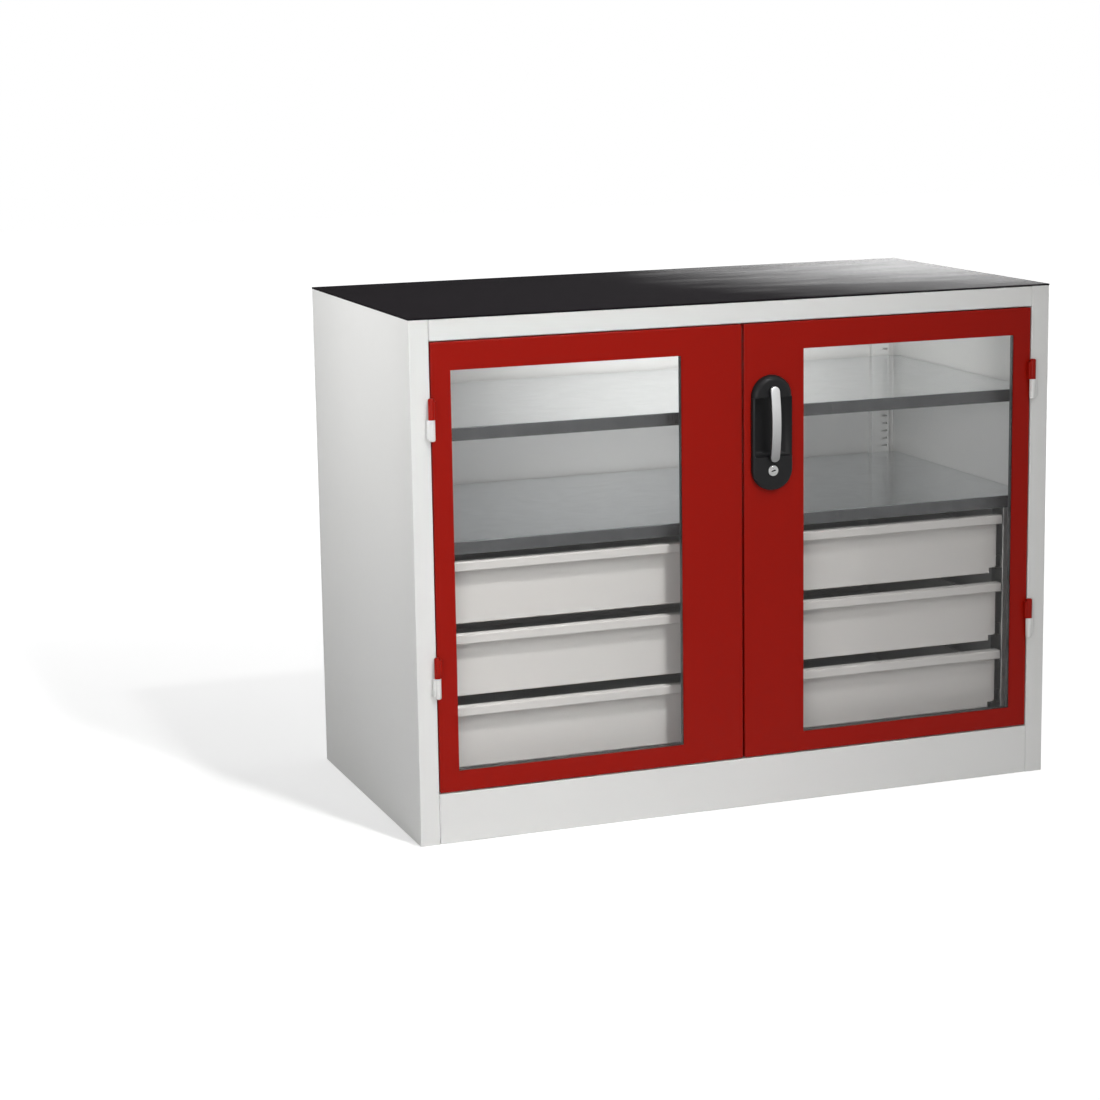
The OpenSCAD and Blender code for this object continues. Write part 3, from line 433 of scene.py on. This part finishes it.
clear_pane, pane_tree, pane_shader = new_material("clear_pane")
pane_haze = noise(pane_tree, own_place(pane_tree), HAZE_LUMPS, detail=3)
feed(pane_tree, pane_shader, {
    "Base Color": PANE_TINT, "Roughness": swing(pane_tree, pane_haze, HAZE, middle=HAZE),
    "Transmission Weight": 1, "IOR": PANE_IOR})
pane_lets_light = put(pane_tree, "BsdfTransparent", {"Color": PANE_TINT})
pane_mix = put(pane_tree, "MixShader", {
    0: put(pane_tree, "LightPath").outputs["Is Shadow Ray"], 1: pane_shader.outputs[0],
    2: pane_lets_light.outputs[0]})
feed(pane_tree, pane_tree.nodes["Material Output"], {"Surface": pane_mix.outputs[0]})
dress(clear_pane, *PANES)
for pane in PANES:
    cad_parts[pane].visible_diffuse = False
retainer_steel = surface(
    "retainer_steel", zinc_spangle,
    {"Zinc": paint(*RETAINER_GREY), "Flakes": 200.0, "Contrast": 0.05, "Gloss": 0.42},
    bump=0.01, depth=0.0002, Metallic=1.0)
dress(retainer_steel, "left_pane_retainer", "right_pane_retainer")


# Hinges: turned steel knuckles with a rounded end, welded on in pairs and painted with what they
# sit on, the red half on the door above the grey half on the post. A steel pin runs through both,
# and a little play parts them.
HINGE_SPLITS = (0.731, 0.292)
HINGE_AXIS_X, HINGE_OUT = 0.565, 0.006
HALVES_APART = 0.0003
KNUCKLE_RADIUS, KNUCKLE_LENGTH, KNUCKLE_ROUND = 0.0056, 0.036, 0.003
PIN_BORE, BORE_DEPTH = 0.00305, 0.032
FOOT_NEAR, FOOT_FAR = 0.7 * KNUCKLE_RADIUS, 0.00875
FOOT_HEIGHT, FOOT_FRONT, FOOT_ROUND = 0.031, 0.0028, 0.0012

door_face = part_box("left_door_panel")[0].y


def round_bar(name, radius, start, end, way="Z", sides=48):
    """A round bar between two points along Z or Y, alone in the selection."""
    bpy.ops.object.select_all(action="DESELECT")
    start, end = Vector(start), Vector(end)
    bpy.ops.mesh.primitive_cylinder_add(
        vertices=sides, radius=radius, depth=(end - start).length, location=(start + end) / 2,
        rotation=(0, 0, 0) if way == "Z" else (math.pi / 2, 0, 0))
    return settled(name)


def combine(piece, other, how):
    """Joins another solid to a piece, cuts it out or keeps what both share, and deletes it."""
    modify(piece, "BOOLEAN", operation=how, object=other, solver="EXACT")
    bpy.data.objects.remove(other)


def smooth(piece, degrees=35):
    """Shades the round parts of a piece smooth and keeps its sharp edges."""
    bpy.ops.object.select_all(action="DESELECT")
    piece.select_set(True)
    bpy.context.view_layer.objects.active = piece
    bpy.ops.object.shade_smooth_by_angle(angle=math.radians(degrees))


def hinge_knuckle():
    """The upper half of a hinge, its axis on the origin and its foot towards +X."""
    knuckle = round_bar("knuckle", KNUCKLE_RADIUS, (0, 0, 0), (0, 0, KNUCKLE_LENGTH), sides=40)
    bpy.ops.object.mode_set(mode="EDIT")
    pick("FACE", lambda mid, out: out.z < -ALIGNED)
    bpy.ops.mesh.inset(thickness=KNUCKLE_RADIUS - PIN_BORE, depth=0)
    bpy.ops.mesh.extrude_region_move(TRANSFORM_OT_translate={"value": (0, 0, BORE_DEPTH)})
    bpy.ops.object.mode_set(mode="OBJECT")
    round_edges(KNUCKLE_ROUND, 5, lambda mid, way: mid.z > KNUCKLE_LENGTH - NEAR)
    foot = blank("foot", (FOOT_NEAR, -FOOT_FRONT, 0), (FOOT_FAR, HINGE_OUT, FOOT_HEIGHT))
    round_edges(
        FOOT_ROUND, 3, lambda mid, way: (mid.x > FOOT_FAR - NEAR and mid.y < 0)
        or mid.z > FOOT_HEIGHT - NEAR)
    combine(knuckle, foot, "UNION")
    return knuckle


def hinge_set(name, knuckle, sides, up, foot_to):
    """Copies of a knuckle at the hinges of the given sides, as one piece."""
    copies = []
    for side in sides:
        for split in HINGE_SPLITS:
            copy = knuckle.copy()
            copy.data = knuckle.data.copy()
            bpy.context.collection.objects.link(copy)
            at = (side * HINGE_AXIS_X, door_face - HINGE_OUT, split + up * HALVES_APART / 2)
            copy.data.transform(
                Matrix.Translation(at) @ Matrix.Diagonal((side * foot_to, 1, up, 1)))
            copies.append(copy)
    bpy.ops.object.select_all(action="DESELECT")
    for copy in copies:
        copy.select_set(True)
    bpy.context.view_layer.objects.active = copies[0]
    bpy.ops.object.join()
    piece = bpy.context.object
    piece.name = piece.data.name = name
    outward(piece)
    smooth(piece)
    return piece


knuckle_pattern = hinge_knuckle()
post_hinges = hinge_set("post_hinge_halves", knuckle_pattern, (-1, 1), up=-1, foot_to=1)
left_hinges = hinge_set("left_door_hinge_halves", knuckle_pattern, (-1,), up=1, foot_to=-1)
right_hinges = hinge_set("right_door_hinge_halves", knuckle_pattern, (1,), up=1, foot_to=-1)
bpy.data.objects.remove(knuckle_pattern)
finished(post_hinges, carcass_grey, "carcass", "painted_grey", "frame_knuckles")
finished(left_hinges, door_red, "left_door", "painted_red", "left_door_knuckles")
finished(right_hinges, door_red, "right_door", "painted_red", "right_door_knuckles")
dress(plated_steel, "hinge_pins")


# Handle shell: one moulding of black plastic with a hood over the lever's pivot, a finger recess
# scooped out towards the hinge side, and a plain plate for the lock. Screws hold it from behind.
SHELL_BLACK = (26, 26, 27)
HANDLE_X, HANDLE_Z = 0.0525, 0.668
SHELL_WIDTH, SHELL_LENGTH = 0.076, 0.202
HOOD_LENGTH, HOOD_FOOT = 1.4 * SHELL_WIDTH, 0.7305
HOOD_OUT, PLATE_OUT = 0.012, 0.0095
HOOD_EDGE, PLATE_EDGE = 0.0116, 0.004
RECESS_HALF = 0.034
RECESS_BOTTOM = 0.626
RECESS_FLOOR, RECESS_BACK = 0.0065, 0.008
TRAY_WALL = 0.0015
SCOOP_START, SCOOP_ROUND = 0.014, 0.030
SIDE_ROUND, BOTTOM_ROUND = 0.005, 0.013
RECESS_CUT, CUT_SPARE = 0.040, 0.01
SPINDLE_Z, SPINDLE_BORE = 0.74175, 0.00605
LOCK_Z, LOCK_BORE = 0.602, 0.00927
BORE_FRONT, BORE_BACK = 0.02, 0.002
SHELL_SOFT = 0.0006
SHARP = 50


def oblong(name, width, length, middle, thickness, sides=72):
    """A plate with round ends, upright in XZ, its back at middle and its front thickness nearer."""
    bpy.ops.object.select_all(action="DESELECT")
    bpy.ops.mesh.primitive_circle_add(
        vertices=sides, radius=width / 2, fill_type="NGON", location=middle,
        rotation=(math.pi / 2, 0, 0))
    piece = settled(name)
    straight = (length - width) / 2
    bpy.ops.object.mode_set(mode="EDIT")
    for end in (1, -1):
        pick("VERT", lambda at: end * (at.z - middle[2]) > NEAR)
        bpy.ops.transform.translate(value=(0, 0, end * straight))
    bpy.ops.mesh.select_all(action="SELECT")
    bpy.ops.mesh.extrude_region_move(TRANSFORM_OT_translate={"value": (0, -thickness, 0)})
    bpy.ops.object.mode_set(mode="OBJECT")
    outward(piece)
    return piece


def shell_part(name, length, middle_z, out, edge, steps, cut_low, cut_high):
    """One part of the shell: an oblong with its front rim rounded, cut off outside two levels."""
    part = oblong(name, SHELL_WIDTH, length, (HANDLE_X, door_face, middle_z), out)
    round_edges(edge, steps, lambda mid, way: mid.y < door_face - out + NEAR)
    keep = blank("keep", (HANDLE_X - SHELL_WIDTH, door_face - SHELL_WIDTH, cut_low),
                 (HANDLE_X + SHELL_WIDTH, door_face + SHELL_WIDTH, cut_high))
    combine(part, keep, "INTERSECT")
    return part


def recess_block(name, low, high, rounds, along, side):
    """A block for cutting the recess, its rear edges that run along an axis rounded by side."""
    block = blank(name, low, high)
    for place, radius, steps in rounds:
        round_edges(radius, steps, lambda mid, way: abs(way[along]) > ALIGNED
                    and mid.y > high[1] - NEAR and abs(mid[side] - place) < NEAR)
    return block


def spigot(name, radius, z, front, back, sides=48):
    """A round bar on the handle's middle, from so far before the door's face to behind it."""
    return round_bar(name, radius, (HANDLE_X, door_face - front, z),
                     (HANDLE_X, door_face + back, z), way="Y", sides=sides)


def soften(piece, width, steps):
    """Rounds all sharp edges of a piece a little."""
    modify(piece, "BEVEL", limit_method="ANGLE", angle_limit=math.radians(SHARP), width=width,
           segments=steps, profile=0.5, use_clamp_overlap=True)


shell_top, shell_bottom = HANDLE_Z + SHELL_LENGTH / 2, HANDLE_Z - SHELL_LENGTH / 2
handle_shell = shell_part(
    "handle_shell_moulded", SHELL_LENGTH, HANDLE_Z, out=PLATE_OUT, edge=PLATE_EDGE, steps=6,
    cut_low=shell_bottom - CUT_SPARE, cut_high=HOOD_FOOT)
shell_hood = shell_part(
    "shell_hood", HOOD_LENGTH, shell_top - HOOD_LENGTH / 2, out=HOOD_OUT, edge=HOOD_EDGE, steps=12,
    cut_low=HOOD_FOOT, cut_high=shell_top + CUT_SPARE)
combine(handle_shell, shell_hood, "UNION")
shell_tray = blank(
    "shell_tray",
    (HANDLE_X - RECESS_HALF - TRAY_WALL, door_face - TRAY_WALL, RECESS_BOTTOM - TRAY_WALL),
    (HANDLE_X + RECESS_HALF + TRAY_WALL, door_face + RECESS_BACK, HOOD_FOOT + TRAY_WALL))
combine(handle_shell, shell_tray, "UNION")

recess_left, recess_right = HANDLE_X - RECESS_HALF, HANDLE_X + SCOOP_START + SCOOP_ROUND
recess_y = door_face + RECESS_FLOOR
finger_recess = recess_block(
    "finger_recess", (recess_left, recess_y - RECESS_CUT, RECESS_BOTTOM),
    (recess_right, recess_y, HOOD_FOOT),
    ((recess_left, SIDE_ROUND, 6), (recess_right, SCOOP_ROUND, 16)), along=2, side=0)
recess_sweep = recess_block(
    "recess_sweep",
    (recess_left - CUT_SPARE, recess_y - RECESS_CUT - CUT_SPARE, RECESS_BOTTOM),
    (recess_right + CUT_SPARE, recess_y, HOOD_FOOT + CUT_SPARE),
    ((RECESS_BOTTOM, BOTTOM_ROUND, 10),), along=0, side=2)
combine(finger_recess, recess_sweep, "INTERSECT")
combine(handle_shell, finger_recess, "DIFFERENCE")
for bore_z, bore_radius in ((SPINDLE_Z, SPINDLE_BORE), (LOCK_Z, LOCK_BORE)):
    bore = spigot("bore", bore_radius, bore_z, BORE_FRONT, BORE_BACK)
    combine(handle_shell, bore, "DIFFERENCE")
soften(handle_shell, SHELL_SOFT, 2)
smooth(handle_shell, 32)

shell_black = surface(
    "shell_black_moulded", rubber_skin,
    {"Rubber": paint(*SHELL_BLACK), "Bloom": 0.05, "Gloss": 0.40},
    bump=0.06, depth=0.0002, Specular_IOR_Level=0.15)
finished(handle_shell, shell_black, "right_door", "black_shell", "handle_shell")


# Lever: a bowed bar of die-cast zinc with rounded ends and edges, blasted and plated satin silver.
# It is pinned on the spindle's end and turns with it.
BAR_SILVER = (196, 196, 196)
BAR_WIDTH, BAR_LENGTH, BAR_THICK = 0.0165, 0.132, 0.005
BAR_SPARE = 0.002
BAR_Z = 0.684
BOW_RADIUS, BOW_STEPS = 0.27625, 32
BAR_CROWN = 0.0256
BAR_EDGE = 0.0014
OUTLINE_OUT = 0.06
BAR_BOSS, BOSS_FRONT, BOSS_BACK = 0.006, 0.0170, 0.0126

bow_axis = door_face - BAR_CROWN + BAR_THICK + BOW_RADIUS
bar_reach = math.asin((BAR_LENGTH / 2 + BAR_SPARE) / BOW_RADIUS)
bpy.ops.object.select_all(action="DESELECT")
bpy.ops.mesh.primitive_plane_add(
    size=1, location=(HANDLE_X, door_face - BAR_CROWN + BAR_THICK / 2, BAR_Z))
lever_bar = settled("lever_bar_bowed", (BAR_WIDTH + 2 * BAR_SPARE, BAR_THICK, 1))
lever_bar.data.transform(
    Matrix.Translation((0, bow_axis, BAR_Z)) @ Matrix.Rotation(bar_reach, 4, "X")
    @ Matrix.Translation((0, -bow_axis, -BAR_Z)))
bpy.ops.object.mode_set(mode="EDIT")
bpy.ops.mesh.select_all(action="SELECT")
bpy.ops.mesh.spin(
    steps=BOW_STEPS, angle=2 * bar_reach, center=(HANDLE_X, bow_axis, BAR_Z), axis=(1, 0, 0))
bpy.ops.mesh.select_all(action="SELECT")
bpy.ops.mesh.remove_doubles(threshold=NEAR)
bpy.ops.mesh.fill_holes(sides=0)
bpy.ops.object.mode_set(mode="OBJECT")
outward(lever_bar)
bar_outline = oblong(
    "bar_outline", BAR_WIDTH, BAR_LENGTH, (HANDLE_X, door_face, BAR_Z), OUTLINE_OUT, sides=40)
combine(lever_bar, bar_outline, "INTERSECT")
soften(lever_bar, BAR_EDGE, 3)
bar_boss = spigot("bar_boss", BAR_BOSS, SPINDLE_Z, BOSS_FRONT, -BOSS_BACK)
combine(lever_bar, bar_boss, "UNION")
outward(lever_bar)
smooth(lever_bar, 40)

# Its silver is darker where the bar turns down, towards its lower end, by painted shade.
satin_silver = surface(
    "satin_silver", zinc_spangle,
    {"Zinc": paint(*BAR_SILVER), "Flakes": 1500.0, "Contrast": 0.03, "Gloss": 0.36,
     "Painted shade below": 0.58},
    bump=0.03, depth=0.0001, Metallic=1.0)
finished(lever_bar, satin_silver, "lever", "satin_bar", "lever_bar")
dress(plated_steel, "lever_spindle", "drive_cam")


# Lock: a turned barrel, nickel-plated, clamped in the shell, and a plug with a key slot that
# turns in it and carries the tongue behind. A black block fills the slot just behind its mouth,
# a painted shade for the slot's depth.
LOCK_NICKEL = (178, 178, 177)
LOCK_SIDES = 64
BARREL_RADIUS, BARREL_FRONT, BARREL_BACK = 0.00925, 0.0115, 0.0072
PLUG_RADIUS, PLUG_FRONT, PLUG_BACK = 0.0062, 0.0118, 0.0077
PLUG_BORE, PLUG_CUT = 0.00625, 0.02
BARREL_ROUND, PLUG_ROUND, SLOT_SHADE_ROUND = 0.0011, 0.0005, 0.0003
KEY_WIDTH, KEY_HEIGHT, KEY_DEPTH = 0.0084, 0.0026, 0.004
SLOT_SHADE_DEPTH = 0.0005
KEY_TILT = 15


def key_block(name, front):
    """A block as wide and high as the key slot, from a front to the slot's end, not yet tilted."""
    return blank(name, (-KEY_WIDTH / 2, front, -KEY_HEIGHT / 2),
                 (KEY_WIDTH / 2, door_face - PLUG_FRONT + KEY_DEPTH, KEY_HEIGHT / 2))


lock_barrel = spigot(
    "lock_barrel_turned", BARREL_RADIUS, LOCK_Z, BARREL_FRONT, BARREL_BACK, sides=LOCK_SIDES)
round_edges(BARREL_ROUND, 4, lambda mid, way: mid.y < door_face - BARREL_FRONT + NEAR)
plug_hole = spigot("plug_hole", PLUG_BORE, LOCK_Z, PLUG_CUT, PLUG_CUT, sides=LOCK_SIDES)
combine(lock_barrel, plug_hole, "DIFFERENCE")
smooth(lock_barrel)

lock_plug = spigot(
    "lock_plug_slotted", PLUG_RADIUS, LOCK_Z, PLUG_FRONT, PLUG_BACK, sides=LOCK_SIDES)
round_edges(PLUG_ROUND, 2, lambda mid, way: mid.y < door_face - PLUG_FRONT + NEAR)
key_place = (Matrix.Translation((HANDLE_X, 0, LOCK_Z))
             @ Matrix.Rotation(-math.radians(KEY_TILT), 4, "Y"))
key_slot = key_block("key_slot", door_face - PLUG_CUT)
key_slot.data.transform(key_place)
combine(lock_plug, key_slot, "DIFFERENCE")
smooth(lock_plug)

# A black block just behind the slot's mouth: painted shade for the depth of the slot.
slot_shade_front = door_face - PLUG_FRONT + SLOT_SHADE_DEPTH
key_slot_shade = key_block("key_slot_shade", slot_shade_front)
round_edges(SLOT_SHADE_ROUND, 2, lambda mid, way: mid.y < slot_shade_front + NEAR)
key_slot_shade.data.transform(key_place)
smooth(key_slot_shade)
finished(key_slot_shade, shell_black, "key_plug", "black_shell")

lock_nickel = surface(
    "lock_nickel", zinc_spangle,
    {"Zinc": paint(*LOCK_NICKEL), "Flakes": 2500.0, "Contrast": 0.02, "Gloss": 0.28},
    bump=0.02, depth=0.0001, Metallic=1.0)
finished(lock_barrel, lock_nickel, "right_door", "lock_metal", "lock_barrel")
finished(lock_plug, lock_nickel, "key_plug", "lock_metal", "lock_plug")


# Locking gear behind the right door: a folded case, rod guides, two flat rods and the lock's
# tongue, all zinc-plated and screwed on, with rubber buffers and steel keepers on the carcass.
BUFFER_BLACK = (30, 30, 30)

buffer_rubber = surface(
    "buffer_rubber", rubber_skin,
    {"Rubber": paint(*BUFFER_BLACK), "Bloom": 0.1, "Gloss": 0.6},
    bump=0.1, depth=0.0003, Specular_IOR_Level=0.3)
dress(plated_steel, "lock_case", "rod_guides", "handle_screws", "upper_rod", "lower_rod",
      "lock_tongue", "rod_keepers")
dress(buffer_rubber, "door_buffers")


# Studio: a seamless white floor that keeps the shadow, and a pale room all round. A broad lamp
# stands at the left front, two small ones hang high in front, and weak ones light the sides and
# the back. Two strips behind the windows light the shelves, and one lamp lights the drawers alone.
FLOOR_HALF = 14
FLOOR_TONE, FLOOR_ROUGHNESS = 0.80, 0.9
FLOOR_LIFT = 0.40
FADE_CENTRE = (-0.6, -0.29, 0)
FADE_START, FADE_END = 0.0, 3.6
ROOM_LEVEL = 0.14
WHITE = (1, 1, 1, 1)


def seen_directly(tree):
    """1 for what the camera sees directly, in gloss or through glass, and 0 for other light."""
    path = put(tree, "LightPath").outputs
    sight = reckon(tree, "MAXIMUM", path["Is Camera Ray"], path["Is Glossy Ray"])
    sight = reckon(tree, "MAXIMUM", sight, path["Is Transmission Ray"])
    return reckon(tree, "MULTIPLY", sight, reckon(tree, "LESS_THAN", path["Diffuse Depth"], 0.5))


def lamp(name, at, aim, size, power, spread=180, mirrored=True):
    """A rectangular soft lamp aimed at a point, its beam held to a spread, seen in gloss or not."""
    light = bpy.data.lights.new(name, "AREA")
    light.shape = "RECTANGLE"
    light.size, light.size_y = size
    light.energy = power
    light.spread = math.radians(spread)
    holder = bpy.data.objects.new(name, light)
    bpy.context.scene.collection.objects.link(holder)
    holder.location = at
    holder.rotation_euler = (Vector(aim) - Vector(at)).to_track_quat("-Z", "Y").to_euler()
    holder.visible_camera = False
    holder.visible_glossy = mirrored
    return holder


bpy.ops.object.select_all(action="DESELECT")
bpy.ops.mesh.primitive_plane_add(size=2 * FLOOR_HALF, location=(0, 0, 0))
studio_floor = settled("studio_floor")
floor_white, floor_tree, floor_shader = new_material("floor_white")
feed(floor_tree, floor_shader, {
    "Base Color": (FLOOR_TONE, FLOOR_TONE, FLOOR_TONE, 1), "Roughness": FLOOR_ROUGHNESS,
    "Specular IOR Level": 0.0})
# The floor glows least at the cabinet's front left foot and more with distance from it, a painted
# shade that deepens the shadow there.
floor_reach = put(floor_tree, "VectorMath", {
    0: own_place(floor_tree), 1: FADE_CENTRE}, operation="DISTANCE")
floor_fade = put(floor_tree, "MapRange", {
    "Value": floor_reach.outputs["Value"], "From Min": FADE_START, "From Max": FADE_END,
    "To Min": FLOOR_LIFT, "To Max": 1.0})
floor_glow = put(floor_tree, "Emission", {"Strength": reckon(
    floor_tree, "MULTIPLY", seen_directly(floor_tree), floor_fade.outputs["Result"])})
floor_sum = put(floor_tree, "AddShader", {0: floor_shader.outputs[0], 1: floor_glow.outputs[0]})
feed(floor_tree, floor_tree.nodes["Material Output"], {"Surface": floor_sum.outputs[0]})
studio_floor.data.materials.append(floor_white)

room = bpy.data.worlds.new("studio_room")
bpy.context.scene.world = room
room.use_nodes = True
room_tree = room.node_tree
room_light = room_tree.nodes["Background"]
feed(room_tree, room_light, {"Color": WHITE, "Strength": ROOM_LEVEL})
room_white = put(room_tree, "Background", {"Color": WHITE, "Strength": 1.0})
room_mix = put(room_tree, "MixShader", {
    0: seen_directly(room_tree), 1: room_light.outputs[0], 2: room_white.outputs[0]})
feed(room_tree, room_tree.nodes["World Output"], {"Surface": room_mix.outputs[0]})

lamp("front_lamp", (-1.75, -2.7, 1.0), (-0.6, -0.29, 0.5), size=(1.4, 1.0), power=30)
lamp("key_lamp", (0.77, -3.93, 3.85), (-1.1, 0.3, 0.1), size=(0.3, 0.3), power=8, spread=50)
lamp("overhead_lamp", (0.25, -2.1, 4.0), (-0.25, -0.25, 0.6), size=(0.22, 0.22), power=2.4,
     spread=42)
lamp("back_right_lamp", (2.6, 4.6, 1.9), (0.4, 0.1, 0.9), size=(1.6, 1.4), power=30)
lamp("left_lamp", (-2.0, -0.1, 1.5), (-0.6, 0.0, 1.05), size=(0.5, 0.8), power=2.3, spread=60,
     mirrored=False)
lamp("right_lamp", (3.6, 0.6, 1.5), (0.6, 0.05, 0.6), size=(1.2, 1.0), power=5.5, spread=70,
     mirrored=False)
lamp("back_lamp", (-0.9, 4.2, 1.5), (-0.05, 0.34, 0.5), size=(1.4, 1.0), power=4, spread=60,
     mirrored=False)
lamp("upper_strip_lamp", (0.12, -0.2, 0.852), (0.12, 0.3, 0.74), size=(0.62, 0.03), power=1.15,
     spread=130)
lamp("lower_strip_lamp", (0.0, -0.2, 0.672), (0.0, 0.3, 0.6), size=(0.62, 0.03), power=0.58)
drawer_lamp = lamp("drawer_lamp", (0.1, -1.8, 4.2), (-1.9, -0.23, 0.32), size=(0.15, 0.15),
                   power=34, spread=64)
lit_drawers = bpy.data.collections.new("lit_drawers")
for drawer in DRAWERS:
    lit_drawers.objects.link(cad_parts[f"drawer_{drawer}"])
drawer_lamp.light_linking.receiver_collection = lit_drawers


# Camera: a long lens a little above the top, left of the middle, as in the photograph. A small
# shift of the lens takes the place of tilting it further down.
CAMERA_PLACE = (-1.879, -4.4752, 1.382)
CAMERA_YAW, CAMERA_PITCH, CAMERA_ROLL = 19.97, -10.2, -0.93
CAMERA_LENS, CAMERA_SENSOR = 87.7, 36
CAMERA_SHIFT = -0.0455
CLIP_START, CLIP_END = 0.05, 100

camera_data = bpy.data.cameras.new("camera")
camera = bpy.data.objects.new("camera", camera_data)
bpy.context.scene.collection.objects.link(camera)
camera.location = CAMERA_PLACE
camera.rotation_euler = (
    Matrix.Rotation(-math.radians(CAMERA_YAW), 3, "Z")
    @ Matrix.Rotation(math.radians(90 + CAMERA_PITCH), 3, "X")
    @ Matrix.Rotation(math.radians(CAMERA_ROLL), 3, "Z")).to_euler()
camera_data.sensor_width = CAMERA_SENSOR
camera_data.lens = CAMERA_LENS
camera_data.shift_y = CAMERA_SHIFT
camera_data.clip_start, camera_data.clip_end = CLIP_START, CLIP_END
bpy.context.scene.camera = camera
bpy.context.scene.view_settings.view_transform = "Standard"
